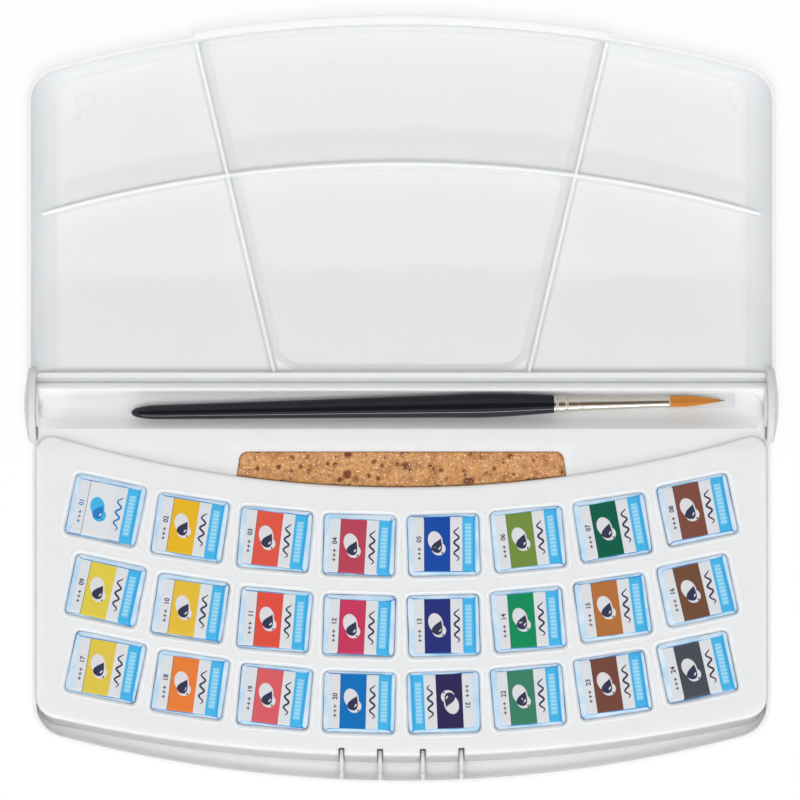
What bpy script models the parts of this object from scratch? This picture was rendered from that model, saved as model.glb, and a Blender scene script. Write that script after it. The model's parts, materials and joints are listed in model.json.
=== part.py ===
"""Watercolour paint box, open flat: tray, hinged lid with mixing wells, pan deck, wrapped half pans,
sponge and brush.

Metres, +Z up. X runs along the hinge, +Y from the tray towards the open lid, and z = 0 is the table.
Shapes are written in the hinge's own plan: x, reach from the hinge axis along Y, height above the table.
"""
import math

import bmesh
import bpy
from mathutils import Matrix, Vector
from mathutils.geometry import delaunay_2d_cdt

# Clearances
GAP = 0.0003                  # between pieces that touch
SLIDE_GAP = 0.0004            # beside pieces that drop in
OVERRUN = 0.0040              # how far a cutter runs past what it cuts
WELD = 0.0005                 # how deep a joined solid sinks into its neighbour
MERGE = 0.0000001             # points closer than this are one

# Lid
LID_HALF_WIDTH = 0.1085
LID_REACH = 0.1115            # hinge axis to the middle of the front
LID_WALL = 0.0012
LID_FLOOR = 0.0013
LID_CORNER = 0.0105
LID_LAP = 0.0020              # how far the closed lid's rim drops past the tray's rim
LID_EDGE = 0.0035             # rounding of the outer edges
FRONT_BOW = 0.01552           # how far the front's ends lie behind its middle
WELL_SIDE_FILLET = 0.0100
WELL_FRONT_FILLET = 0.0045
WELL_CORNER = 0.0035
REAR_WALL_REACH = 0.0093
REAR_WALL = 0.0011
REAR_WALL_DRAFT = 0.0008
REAR_WALL_HEIGHT = 0.0067     # above the lid's floor
RIDGE_HEIGHT = 0.0032
RIDGE_TOP = 0.0012
RIDGE_FOOT = 0.0026
CROSS_RIDGE_SHARE = 0.6287    # of the lid's reach
CROSS_RIDGE_BOW = 0.0158
SIDE_RIDGE_SHARES = (0.341, 0.564)  # of the lid's half width, at the rear wall and at the front
KEYSTONE_STEP = 0.0010        # how far the middle panel stands out of the lid's face
KEYSTONE_SLOPE = 0.0028
KEYSTONE_REAR_SLOPE = 0.0026
KEYSTONE_FRONT_SLOPE = 0.0015
LIP = 0.0014                  # how far the middle panel stands out of the front

# Spine and hinge
SPINE_RADIUS = 0.0105         # outside of the lid's rounded back
SPINE_END = math.radians(200)  # where the back's free edge lies while the lid is open
EAR_STEP = 0.0005             # how far the ears stand out beyond the spine
EAR_CROWN = 0.0008            # how far the ear's middle stands out of the lid's side
EAR_EDGE = 0.0008             # how far its rim lies inside it
EAR_RECESS = 0.0010
PEG_RADIUS = 0.0025
PEG_LENGTH = 0.0010

# Tray
TRAY_WALL = 0.0012
TRAY_FLOOR = 0.0012
TRAY_EDGE = 0.0020
LEDGE = 0.0012
TROUGH_RADIUS = 0.0054
TROUGH_WALL = 0.0010
TROUGH_FRONT = 0.0070         # hinge axis to the trough's front edge
TROUGH_LIP = math.radians(43)  # how far the trough's back curls over
TROUGH_END_FILLET = 0.0107
TROUGH_END_WALL = 0.0015
TROUGH_END_SKIN = 0.0017
RIB_WIDTH = 0.0011
RIB_LENGTH = 0.0058
RIB_TOP_LENGTH = 0.0019
RIB_TOP_DROP = 0.0006
RIB_SHOULDER = 0.0040         # below the rim
RIB_PLACES = (0.0062, 0.0174)  # both sides of the middle

# Pan deck
DECK_REAR = 0.0238            # hinge axis to the middle of the deck's rear edge
DECK_REAR_CHORD_SHARE = 0.8363  # of the tray's half width, where that edge runs into the tray's rear wall
DECK_REAR_CORNER = 0.0045
DECK_FRONT_ROOM = 0.0071      # between the deck's front edge and the tray's front wall
DECK_FRONT_BOW = 0.01213
DECK_CORNER = 0.0060
DECK_PLATE = 0.0012
DECK_SKIRT = 0.0010
DECK_FLARE = 0.0024           # how far the front skirt slopes out
DECK_OVERHANG = 0.0010        # how far the deck laps over the tray's ledge
DECK_ROLL = 0.0009            # rounding of its top edge
NOTCH_LENGTH = 0.0020         # slots in the front skirt, where the tray's ribs stand
DECK_MARGIN = 0.00915         # between the deck's side and the first pocket
COLUMN_WEB = 0.0035           # between two pockets side by side
ROW_WEB = 0.0045              # between two rows of pockets
POCKET_CORNER = 0.0014
POCKET_LIP = 0.0008
POCKET_WALL = 0.0008
POCKET_FLOOR = 0.0008
PAN_COLUMNS = 8
ROW_SHARES = (0.2182, 0.5173, 0.8036)  # where the rows lie between the deck's rear and front edges
ROW_BOW = 0.01036             # how far the outermost pans of a row lie behind its middle
OUTER_TILT = math.radians(11.92)

# Half pans and their wrappers
PAN_SIDE_PLAY = 0.0013        # between a pocket and the pan in it, paper included
PAN_END_PLAY = 0.00105
PAN_DROP = 0.0001             # below the deck's top
PAN_CORNER = 0.0010
PAN_WALL = 0.0009
PAINT_DROP = 0.0009           # paint lies this far below the pan's rim
PAPER = 0.0003
FLAP = 0.0030                 # what the wrapper tucks under the pan
FLAP_RISE = 0.0001            # how far the flap's edge springs up

# Sponge
SPONGE_SHARE = 0.4313         # of the lid's half width
SPONGE_BEHIND = 0.0013        # between the tray's rear wall and the sponge
SPONGE_SPLAY = 0.0006         # how much further its ends stand out at the front
SPONGE_CORNER = 0.0022
SPONGE_DROP = 0.0003          # below the ledge
SPONGE_EDGE = 0.0006

# Brush, measured from the handle's free end along its axis
BRUSH_FREE_LEFT = 0.0266      # what the brush leaves free at the trough's ends
BRUSH_FREE_RIGHT = 0.0081
BRUSH_END_REACH = -0.0022     # the handle's free end and the sleeve's end lie this far off the hinge axis
BRUSH_TIP_REACH = 0.0014
HANDLE_RADIUS = 0.0036
HANDLE_SHARES = (             # along the handle, and radius, both as shares
    (0.000, 0.00), (0.003, 0.22), (0.012, 0.38), (0.040, 0.55), (0.090, 0.60),
    (0.300, 0.70), (0.550, 0.83), (0.740, 0.94), (0.830, 1.00), (0.910, 0.93), (1.000, 0.78))
TENON_LENGTH = 0.0050
FERRULE_LENGTH = 0.0328
FERRULE_WALL = 0.00025
FERRULE_HANDLE_RADIUS = 0.00275
FERRULE_TIP_RADIUS = 0.00167
CRIMP_DEPTH = 0.00022
CRIMP_SHARES = (0.06, 0.15)   # where the two crimped rings lie along the ferrule
CRIMP_WIDTH = 0.0012
FERRULE_NECK_SHARE = 0.24     # where the ferrule has drawn in behind the crimps
FERRULE_NECK_RADIUS = 0.00225
BRISTLE_LENGTH = 0.0160
BRISTLE_ROOT = 0.0020         # how deep the tuft sits in the ferrule
BRISTLE_SLICE = 0.0006
BELLY_RADIUS = 0.00175
BELLY_SHARE = 0.38            # where the tuft is fullest
STRAND_RINGS = 7
RING_GROWTH = 6.3             # strand feet added from one ring to the next
STRAND_GAP_SHARE = 0.16       # of a strand's foot, left free round it
OUTER_STRAND_SHARE = 0.72     # how far the outermost strands reach
GUARD_RADIUS = 0.0022
GUARD_WALL = 0.00015
GUARD_OVERLAP = 0.0015        # of the ferrule
GUARD_BEYOND = 0.0030         # past the bristles' point

# Steps of the round shapes
CORNER_STEPS = 6
FRONT_STEPS = 22
FILLET_STEPS = 4
POCKET_STEPS = 2
TURN_STEPS = 24
BRUSH_STEPS = 14


def bow_radius(half_chord, bow):
    """Radius of an arc whose ends lie a bow's height behind its middle."""
    return (half_chord ** 2 + bow ** 2) / (2 * bow)


# Sizes that follow from the ones above
HINGE_HEIGHT = SPINE_RADIUS + KEYSTONE_STEP
EAR_RADIUS = SPINE_RADIUS + EAR_STEP
RIM_HEIGHT = HINGE_HEIGHT
LID_FACE = KEYSTONE_STEP
LID_INSIDE = LID_FACE + LID_FLOOR
LID_RIM = 2 * HINGE_HEIGHT - RIM_HEIGHT + LID_LAP
RIDGE_BASE = (LID_FACE + LID_INSIDE - KEYSTONE_STEP) / 2
FIT = LID_WALL + GAP
FRONT_RADIUS = bow_radius(LID_HALF_WIDTH, FRONT_BOW)
CROSS_RIDGE_REACH = CROSS_RIDGE_SHARE * LID_REACH
CROSS_RIDGE_RADIUS = bow_radius(LID_HALF_WIDTH, CROSS_RIDGE_BOW)
SIDE_RIDGE_REAR, SIDE_RIDGE_FRONT = [share * LID_HALF_WIDTH for share in SIDE_RIDGE_SHARES]
TRAY_HALF_WIDTH = LID_HALF_WIDTH - FIT
TRAY_REACH = LID_REACH - FIT
TRAY_RADIUS = FRONT_RADIUS - FIT
TRAY_INSIDE = TRAY_HALF_WIDTH - TRAY_WALL
TRAY_REAR = EAR_RADIUS + GAP
LEDGE_HALF_WIDTH = TRAY_INSIDE - GAP
EAR_FACE = TRAY_INSIDE
EAR_FLOOR = EAR_FACE + EAR_RECESS
TROUGH_OUTSIDE = TROUGH_RADIUS + TROUGH_WALL
TROUGH_HALF_LENGTH = EAR_FLOOR - GAP
HINGE_Y = (TRAY_REACH - LID_REACH - LIP) / 2
DECK_HALF_WIDTH = TRAY_INSIDE - SLIDE_GAP
DECK_BOTTOM = TRAY_FLOOR + GAP
DECK_TOP = RIM_HEIGHT + GAP + DECK_ROLL
DECK_UNDERSIDE = DECK_TOP - DECK_PLATE
LEDGE_EDGE = DECK_OVERHANG
SKIRT_EDGE = DECK_OVERHANG + SLIDE_GAP
REAR_INSIDE = TRAY_REAR + TRAY_WALL
DECK_REACH = TRAY_REACH - TRAY_WALL - DECK_FRONT_ROOM
DECK_REAR_RADIUS = bow_radius(DECK_REAR_CHORD_SHARE * TRAY_INSIDE, DECK_REAR - REAR_INSIDE)
DECK_FRONT_RADIUS = bow_radius(DECK_HALF_WIDTH, DECK_FRONT_BOW)
ROW_REACHES = [DECK_REAR + share * (DECK_REACH - DECK_REAR) for share in ROW_SHARES]
PAN_PITCH = (DECK_HALF_WIDTH - DECK_MARGIN + COLUMN_WEB / 2) / (PAN_COLUMNS / 2)
OUTER_COLUMN = (PAN_COLUMNS - 1) / 2 * PAN_PITCH
ROW_RADIUS = bow_radius(OUTER_COLUMN, ROW_BOW)
TILT_RADIUS = OUTER_COLUMN / math.sin(OUTER_TILT)
POCKET_WIDTH = PAN_PITCH - COLUMN_WEB
POCKET_DEPTH = ROW_REACHES[2] - ROW_REACHES[1] - ROW_WEB
PAN_BOTTOM = DECK_BOTTOM + POCKET_FLOOR + GAP
PAN_WIDTH = POCKET_WIDTH - 2 * PAN_SIDE_PLAY
PAN_DEPTH = POCKET_DEPTH - 2 * PAN_END_PLAY
WRAPPER_WIDTH = PAN_WIDTH + 2 * (GAP + PAPER)
WRAPPER_DEPTH = PAN_DEPTH + 2 * (GAP + PAPER)
WRAPPER_HEIGHT = DECK_TOP - PAN_DROP - PAN_BOTTOM
PAN_LOW = PAPER + FLAP_RISE + GAP
PAN_HEIGHT = WRAPPER_HEIGHT - PAN_LOW - GAP - PAPER
SPONGE_HALF_LENGTH = SPONGE_SHARE * LID_HALF_WIDTH
SPONGE_BACK = REAR_INSIDE + SPONGE_BEHIND
TROUGH_MOUTH = TROUGH_HALF_LENGTH - TROUGH_END_WALL
BRUSH_END = TROUGH_MOUTH - BRUSH_FREE_LEFT
BRUSH_LENGTH = 2 * TROUGH_MOUTH - BRUSH_FREE_LEFT - BRUSH_FREE_RIGHT
BRUSH_TURN = math.asin((BRUSH_TIP_REACH - BRUSH_END_REACH) / BRUSH_LENGTH)
HANDLE_LENGTH = BRUSH_LENGTH - GAP - FERRULE_LENGTH - BRISTLE_LENGTH - GUARD_BEYOND

# Paint colours of the labels, row by row from the lid, left to right
PAINTS = (
    ("white", (0.85, 0.86, 0.84)), ("golden_yellow", (0.95, 0.62, 0.03)),
    ("orange_red", (0.86, 0.12, 0.04)), ("deep_red", (0.62, 0.04, 0.06)),
    ("cobalt_blue", (0.02, 0.12, 0.55)), ("yellow_green", (0.28, 0.50, 0.04)),
    ("viridian", (0.01, 0.20, 0.12)), ("red_brown", (0.24, 0.06, 0.04)),
    ("lemon_yellow", (0.85, 0.78, 0.03)), ("warm_yellow", (0.90, 0.66, 0.03)),
    ("scarlet", (0.86, 0.09, 0.03)), ("magenta", (0.55, 0.01, 0.20)),
    ("ultramarine", (0.03, 0.03, 0.36)), ("bright_green", (0.04, 0.42, 0.13)),
    ("ochre", (0.52, 0.24, 0.06)), ("raw_umber", (0.15, 0.07, 0.03)),
    ("yellow", (0.90, 0.75, 0.02)), ("orange", (0.92, 0.28, 0.02)),
    ("rose_red", (0.68, 0.04, 0.07)), ("cerulean", (0.01, 0.25, 0.55)),
    ("indigo", (0.03, 0.02, 0.14)), ("mid_green", (0.01, 0.30, 0.10)),
    ("burnt_sienna", (0.22, 0.06, 0.03)), ("dark_grey", (0.07, 0.07, 0.08)))


ORIGINS = {}                  # where each object's origin lies in the plan


def start_clean():
    for thing in list(bpy.data.objects):
        bpy.data.objects.remove(thing, do_unlink=True)


def make_material(name, colour, roughness, metallic=0.0, alpha=1.0):
    material = bpy.data.materials.new(name)
    material.use_nodes = True
    shader = material.node_tree.nodes["Principled BSDF"]
    shader.inputs["Base Color"].default_value = (*colour, 1.0)
    shader.inputs["Roughness"].default_value = roughness
    shader.inputs["Metallic"].default_value = metallic
    shader.inputs["Alpha"].default_value = alpha
    material.diffuse_color = (*colour, alpha)
    return material


def add_object(name, bm, material=None, origin=(0.0, 0.0, 0.0)):
    """Makes an object of a mesh written in the hinge's plan, with its origin at the given place there."""
    origin = Vector(origin)
    bmesh.ops.translate(bm, verts=bm.verts, vec=-origin)
    mesh = bpy.data.meshes.new(name)
    bm.to_mesh(mesh)
    bm.free()
    thing = bpy.data.objects.new(name, mesh)
    bpy.context.collection.objects.link(thing)
    thing.location = origin + Vector((0.0, HINGE_Y, 0.0))
    ORIGINS[name] = origin
    if material:
        mesh.materials.append(material)
        mesh.shade_smooth()
        mesh.set_sharp_from_angle(angle=math.radians(35))
    return thing


def carve(thing, operation, name, bm):
    """Joins a solid to an object, or cuts it away, with a guide that is never shown itself."""
    guide = add_object(name, bm, origin=ORIGINS[thing.name])
    guide.hide_render = True
    guide.display_type = 'WIRE'
    modifier = thing.modifiers.new(name, 'BOOLEAN')
    modifier.operation = operation
    modifier.object = guide


def ring(outline, height):
    return [(x, y, height) for x, y in outline]


def loft(rings):
    """A closed solid through rings that have the same number of points, with flat ends."""
    bm = bmesh.new()
    loops = [[bm.verts.new(point) for point in points] for points in rings]
    count = len(loops[0])
    for lower, upper in zip(loops, loops[1:]):
        for i in range(count):
            j = (i + 1) % count
            bm.faces.new((lower[i], lower[j], upper[j], upper[i]))
    bm.faces.new(loops[0])
    bm.faces.new(loops[-1])
    bmesh.ops.recalc_face_normals(bm, faces=bm.faces)
    return bm


def prism(outline, low, high):
    return loft([ring(outline, low), ring(outline, high)])


def bar(profile, low, high):
    """A profile of reaches and heights, drawn out along the hinge."""
    return loft([[(x, y, z) for y, z in profile] for x in (low, high)])


def turned(profile, steps):
    """A profile of places along X and radii, turned once round the X axis."""
    bm = bmesh.new()
    points = [bm.verts.new((x, 0.0, radius)) for x, radius in profile]
    edges = [bm.edges.new(pair) for pair in zip(points, points[1:])]
    bmesh.ops.spin(bm, geom=points + edges, cent=(0.0, 0.0, 0.0), axis=(1.0, 0.0, 0.0),
                   angle=math.tau, steps=steps, use_merge=True)
    bmesh.ops.remove_doubles(bm, verts=bm.verts, dist=MERGE)
    bmesh.ops.recalc_face_normals(bm, faces=bm.faces)
    return bm


def together(parts):
    """Several meshes as one."""
    whole = bmesh.new()
    for part in parts:
        mesh = bpy.data.meshes.new("part")
        part.to_mesh(mesh)
        part.free()
        whole.from_mesh(mesh)
        bpy.data.meshes.remove(mesh)
    return whole


def moved(bm, matrix):
    bmesh.ops.transform(bm, matrix=matrix, verts=bm.verts)
    return bm


def arc(centre, radius, start, end, steps):
    """Points of an arc, its ends included; angles from +X of the plan."""
    angles = [start + (end - start) * i / steps for i in range(steps + 1)]
    return [(centre[0] + radius * math.cos(a), centre[1] + radius * math.sin(a)) for a in angles]


def bowed(half_width, rear, reach, radius, corner):
    """Straight sides, a bowed front towards +Y and round front corners; starts at the rear right."""
    corner_x = half_width - corner
    middle = reach - radius
    corner_y = middle + math.sqrt((radius - corner) ** 2 - corner_x ** 2)
    lean = math.atan2(corner_y - middle, corner_x)
    right = arc((corner_x, corner_y), corner, 0.0, lean, CORNER_STEPS)
    front = arc((0.0, middle), radius, lean, math.pi - lean, FRONT_STEPS)
    left = [(-x, y) for x, y in reversed(right)]
    return [(half_width, rear), *right, *front[1:-1], *left, (-half_width, rear)]


def forward(outline):
    """The same outline with its front towards -Y."""
    return [(x, -y) for x, y in outline]


def inset(outline, distance):
    """The outline moved in by a distance all round."""
    count = len(outline)
    area = sum(outline[i - 1][0] * outline[i][1] - outline[i][0] * outline[i - 1][1] for i in range(count))
    turn = math.copysign(1.0, area)
    moved_in = []
    for i in range(count):
        here = Vector(outline[i])
        before = (here - Vector(outline[i - 1])).normalized()
        after = (Vector(outline[(i + 1) % count]) - here).normalized()
        first = Vector((-before.y, before.x)) * turn
        second = Vector((-after.y, after.x)) * turn
        step = (first + second) / (1.0 + first.dot(second))
        moved_in.append(tuple(here + step * distance))
    return moved_in


def bowl(wall, floor, top, bottom):
    """A filled bowl: down the wall, round a fillet that varies along it, and flat inside the floor outline."""
    rings = [ring(wall, top)]
    for i in range(FILLET_STEPS + 1):
        angle = math.pi / 2 * i / FILLET_STEPS
        across, down = 1.0 - math.cos(angle), 1.0 - math.sin(angle)
        points = []
        for (x, y), (fx, fy) in zip(wall, floor):
            rise = min(math.hypot(fx - x, fy - y), top - bottom - WELD)
            points.append((x + (fx - x) * across, y + (fy - y) * across, bottom + rise * down))
        rings.append(points)
    return loft(rings)


def rounded_box(width, depth, corner, steps):
    """A rectangle with round corners, centred."""
    points = []
    for sx, sy, start in ((1, 1, 0.0), (-1, 1, 0.5), (-1, -1, 1.0), (1, -1, 1.5)):
        centre = (sx * (width / 2 - corner), sy * (depth / 2 - corner))
        points += arc(centre, corner, start * math.pi, (start + 0.5) * math.pi, steps)
    return points


def rear_arc(edge, low, high, steps):
    """The deck's concave rear edge, moved forward by edge, from one reach on the left to one on the right."""
    radius = DECK_REAR_RADIUS + edge
    middle = DECK_REAR_RADIUS - DECK_REAR
    start = -math.pi / 2 - math.acos((middle - low) / radius)
    end = -math.pi / 2 + math.acos((middle - high) / radius)
    return arc((0.0, middle), radius, start, end, steps)


def ridge_x(reach):
    """Half distance between the slanted ridges at a reach."""
    share = (reach - REAR_WALL_REACH) / (LID_REACH - REAR_WALL_REACH)
    return SIDE_RIDGE_REAR + (SIDE_RIDGE_FRONT - SIDE_RIDGE_REAR) * share


def keystone(spread, rear, reach):
    """The panel between the slanted ridges, with its front bowed like the lid's."""
    radius = FRONT_RADIUS - (LID_REACH - reach)
    middle = reach - radius
    front = reach
    for _ in range(CORNER_STEPS):
        front = middle + math.sqrt(radius ** 2 - (ridge_x(front) + spread) ** 2)
    lean = math.atan2(front - middle, ridge_x(front) + spread)
    bow = arc((0.0, middle), radius, lean, math.pi - lean, FRONT_STEPS)
    return [(ridge_x(rear) + spread, rear), *bow, (-ridge_x(rear) - spread, rear)]


def lid_shell():
    outside = bowed(LID_HALF_WIDTH, WELD, LID_REACH, FRONT_RADIUS, LID_CORNER)
    face = bowed(LID_HALF_WIDTH - LID_EDGE, WELD, LID_REACH - LID_EDGE, FRONT_RADIUS - LID_EDGE,
                 LID_CORNER - LID_EDGE)
    return bowl(outside, face, LID_RIM, LID_FACE)


def lid_panel():
    """The raised middle panel and the lip that it makes at the front."""
    panel = keystone(WELD, REAR_WALL_REACH, LID_REACH + LIP)
    return loft([ring(panel, LID_RIM), ring(panel, LID_FACE + LIP),
                 ring(inset(panel, KEYSTONE_STEP), 0.0)])


def lid_spine():
    """The rounded back that turns round the trough, as a bar between the ears."""
    inside = SPINE_RADIUS - LID_FLOOR
    centre = (0.0, HINGE_HEIGHT)
    outer = arc(centre, SPINE_RADIUS, SPINE_END, 1.5 * math.pi, CORNER_STEPS)
    inner = arc(centre, inside, 1.5 * math.pi, SPINE_END, CORNER_STEPS)
    joint = [(REAR_WALL_REACH, LID_FACE), (REAR_WALL_REACH, LID_INSIDE)]
    return bar([*outer, *joint, *inner], -EAR_FACE - WELD, EAR_FACE + WELD)


def lid_cavity():
    half_width = LID_HALF_WIDTH - LID_WALL
    reach = LID_REACH - LID_WALL
    wall = bowed(half_width, REAR_WALL_REACH, reach, FRONT_RADIUS - LID_WALL, LID_CORNER - LID_WALL)
    floor = bowed(half_width - WELL_SIDE_FILLET, REAR_WALL_REACH + REAR_WALL_DRAFT,
                  reach - WELL_FRONT_FILLET, FRONT_RADIUS - LID_WALL - WELL_FRONT_FILLET, WELL_CORNER)
    return bowl(wall, floor, LID_RIM + OVERRUN, LID_INSIDE)


def lid_trench():
    """The space behind the wells, where the trough's back sits, down to the lid's floor."""
    behind = REAR_WALL_REACH - REAR_WALL
    wall_top = LID_INSIDE + REAR_WALL_HEIGHT
    half_width = LID_HALF_WIDTH - LID_WALL
    start = WELD / 2
    profile = [(start, LID_INSIDE), (behind, LID_INSIDE), (behind, wall_top),
               (REAR_WALL_REACH + WELD, wall_top), (REAR_WALL_REACH + WELD, LID_RIM + OVERRUN),
               (start, LID_RIM + OVERRUN)]
    return bar(profile, -half_width, half_width)


def lid_sink():
    """The sunken floor between the slanted ridges."""
    reach = LID_REACH - LID_WALL
    upper = keystone(-RIDGE_TOP / 2, REAR_WALL_REACH + REAR_WALL_DRAFT, reach + WELD / 2)
    lower = keystone(-RIDGE_TOP / 2 - KEYSTONE_SLOPE, REAR_WALL_REACH + KEYSTONE_REAR_SLOPE,
                     reach - KEYSTONE_FRONT_SLOPE)
    above = LID_RIM + OVERRUN
    return loft([ring(upper, above), ring(upper, LID_INSIDE), ring(lower, LID_INSIDE - KEYSTONE_STEP)])


def cross_ridge():
    middle = CROSS_RIDGE_REACH - CROSS_RIDGE_RADIUS
    end = LID_HALF_WIDTH - LID_EDGE + WELD
    rings = []
    for width, height in ((RIDGE_FOOT, RIDGE_BASE), (RIDGE_TOP, LID_INSIDE + RIDGE_HEIGHT)):
        outline = []
        for radius, side in ((CROSS_RIDGE_RADIUS + width / 2, 1), (CROSS_RIDGE_RADIUS - width / 2, -1)):
            lean = math.acos(end / radius)
            band = arc((0.0, middle), radius, lean, math.pi - lean, FRONT_STEPS)
            outline += band[::side]
        rings.append(ring(outline, height))
    return loft(rings)


def slanted_ridge(side):
    rear = REAR_WALL_REACH - REAR_WALL / 2
    front = LID_REACH - LID_WALL - ridge_x(LID_REACH) ** 2 / (2 * FRONT_RADIUS) + WELD
    rings = []
    for width, height in ((RIDGE_FOOT, RIDGE_BASE), (RIDGE_TOP, LID_INSIDE + RIDGE_HEIGHT)):
        outline = [(side * (ridge_x(reach) + half), reach)
                   for reach, half in ((rear, -width / 2), (rear, width / 2),
                                       (front, width / 2), (front, -width / 2))]
        rings.append(ring(outline, height))
    return loft(rings)


def ear():
    """The round cap at the right end of the spine, with its peg, turned about the hinge axis."""
    crown = LID_HALF_WIDTH + EAR_CROWN
    edge = LID_HALF_WIDTH - EAR_EDGE
    rise = crown - edge
    dome = (EAR_RADIUS ** 2 + rise ** 2) / (2 * rise)
    sweep = math.asin(EAR_RADIUS / dome)
    cap = arc((crown - dome, 0.0), dome, sweep, 0.0, FILLET_STEPS)
    recess = TROUGH_OUTSIDE + GAP
    profile = [(EAR_FLOOR - PEG_LENGTH, 0.0), (EAR_FLOOR - PEG_LENGTH, PEG_RADIUS), (EAR_FLOOR, PEG_RADIUS),
               (EAR_FLOOR, recess), (EAR_FACE, recess), (EAR_FACE, EAR_RADIUS), *cap]
    return moved(turned(profile, TURN_STEPS), Matrix.Translation((0.0, 0.0, HINGE_HEIGHT)))


def both_sides(make):
    """A solid and its mirror image across the middle."""
    left = moved(make(), Matrix.Scale(-1.0, 4, (1.0, 0.0, 0.0)))
    bmesh.ops.reverse_faces(left, faces=left.faces)
    return together([make(), left])


def make_lid(plastic):
    lid = add_object("lid", lid_shell(), plastic, (0.0, 0.0, HINGE_HEIGHT))
    carve(lid, 'UNION', "lid_panel", lid_panel())
    carve(lid, 'UNION', "lid_spine", lid_spine())
    carve(lid, 'DIFFERENCE', "lid_cavity", lid_cavity())
    carve(lid, 'DIFFERENCE', "lid_trench", lid_trench())
    carve(lid, 'DIFFERENCE', "lid_sink", lid_sink())
    carve(lid, 'UNION', "lid_cross_ridge", cross_ridge())
    carve(lid, 'UNION', "lid_slanted_ridges", both_sides(lambda: slanted_ridge(1)))
    carve(lid, 'UNION', "lid_ears", both_sides(ear))


def tray_shell():
    outside = bowed(TRAY_HALF_WIDTH, TRAY_REAR, TRAY_REACH, TRAY_RADIUS, LID_CORNER)
    base = bowed(TRAY_HALF_WIDTH - TRAY_EDGE, TRAY_REAR, TRAY_REACH - TRAY_EDGE, TRAY_RADIUS - TRAY_EDGE,
                 LID_CORNER - TRAY_EDGE)
    return bowl(forward(outside), forward(base), RIM_HEIGHT, 0.0)


def tray_cavity():
    """The room for the deck: its rear wall follows the deck's rear edge, then the tray's own rear wall."""
    walls = forward(bowed(TRAY_INSIDE, REAR_INSIDE, TRAY_REACH - TRAY_WALL, TRAY_RADIUS - TRAY_WALL,
                          LID_CORNER - TRAY_WALL))
    rear = rear_arc(LEDGE_EDGE, -REAR_INSIDE, -REAR_INSIDE, FRONT_STEPS)
    return prism([*walls, *rear], TRAY_FLOOR, RIM_HEIGHT + OVERRUN)


def sponge_outline(spare):
    """The sponge from above, with its front along the deck's rear edge; spare widens it all round."""
    half, splay = SPONGE_HALF_LENGTH, SPONGE_SPLAY
    back = -SPONGE_BACK
    right = [(half + splay, -DECK_REAR), (half, back)]
    direction = (Vector(right[1]) - Vector(right[0])).normalized()
    start = Vector((half, back)) - direction * SPONGE_CORNER
    corner = arc((half - SPONGE_CORNER, back - SPONGE_CORNER), SPONGE_CORNER, 0.0, math.pi / 2, POCKET_STEPS)
    radius = DECK_REAR_RADIUS - GAP
    middle = DECK_REAR_RADIUS - DECK_REAR
    lean = math.asin((half + splay) / radius)
    front = arc((0.0, middle), radius, -math.pi / 2 - lean, -math.pi / 2 + lean, FRONT_STEPS // 2)
    side = [tuple(start), *corner[1:]]
    outline = [*front, *side, *[(-x, y) for x, y in reversed(side)]]
    return inset(outline, -spare) if spare else outline


def sponge_pocket():
    """Room for the sponge, open towards the deck's rear skirt."""
    outline = sponge_outline(GAP)
    sides = [*outline[FRONT_STEPS // 2:], outline[0]]
    low = -DECK_REAR - DECK_OVERHANG - OVERRUN
    mouth = [(sides[-1][0], low), (sides[0][0], low)]
    return prism([*mouth, *sides], TRAY_FLOOR, RIM_HEIGHT + OVERRUN)


def ledge_hollow():
    """The hollow under the right half of the ledge, open beneath."""
    start = SPONGE_HALF_LENGTH + SPONGE_SPLAY + GAP + TRAY_WALL
    radius = DECK_REAR_RADIUS + LEDGE_EDGE - TRAY_WALL
    middle = DECK_REAR_RADIUS - DECK_REAR
    last = REAR_INSIDE + TRAY_WALL
    first_angle = -math.pi / 2 + math.asin(start / radius)
    last_angle = -math.pi / 2 + math.acos((middle + last) / radius)
    front = arc((0.0, middle), radius, first_angle, last_angle, CORNER_STEPS)
    outline = [*front, (front[-1][0], -REAR_INSIDE), (start, -REAR_INSIDE)]
    return prism(outline, -OVERRUN, RIM_HEIGHT - LEDGE)


def trough_tangent():
    """Where the sloping front of the trough meets its round bottom, as an angle about the hinge axis."""
    return math.pi + math.acos(TROUGH_RADIUS / TROUGH_FRONT)


def trough_ledge():
    """The ledge from the tray to the trough, and the trough's sloping front wall."""
    angle = trough_tangent()
    inner = (TROUGH_RADIUS * math.cos(angle) + WELD, HINGE_HEIGHT + TROUGH_RADIUS * math.sin(angle) + WELD)
    outer = (TROUGH_OUTSIDE * math.cos(angle), HINGE_HEIGHT + TROUGH_OUTSIDE * math.sin(angle))
    slope = (math.sin(angle), -math.cos(angle))
    underside = RIM_HEIGHT - LEDGE
    run = (underside - outer[1]) / slope[1]
    profile = [(-TRAY_REAR - WELD, RIM_HEIGHT), (-TROUGH_FRONT + 2 * WELD, RIM_HEIGHT), inner, outer,
               (outer[0] + slope[0] * run, underside), (-TRAY_REAR - WELD, underside)]
    return bar(profile, -LEDGE_HALF_WIDTH, LEDGE_HALF_WIDTH)


def trough_tube():
    profile = [(-TROUGH_HALF_LENGTH, 0.0), (-TROUGH_HALF_LENGTH, TROUGH_OUTSIDE),
               (TROUGH_HALF_LENGTH, TROUGH_OUTSIDE), (TROUGH_HALF_LENGTH, 0.0)]
    steps = TURN_STEPS + TURN_STEPS // 3
    half_step = Matrix.Rotation(math.pi / steps, 4, 'X')
    return moved(turned(profile, steps), Matrix.Translation((0.0, 0.0, HINGE_HEIGHT)) @ half_step)


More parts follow.
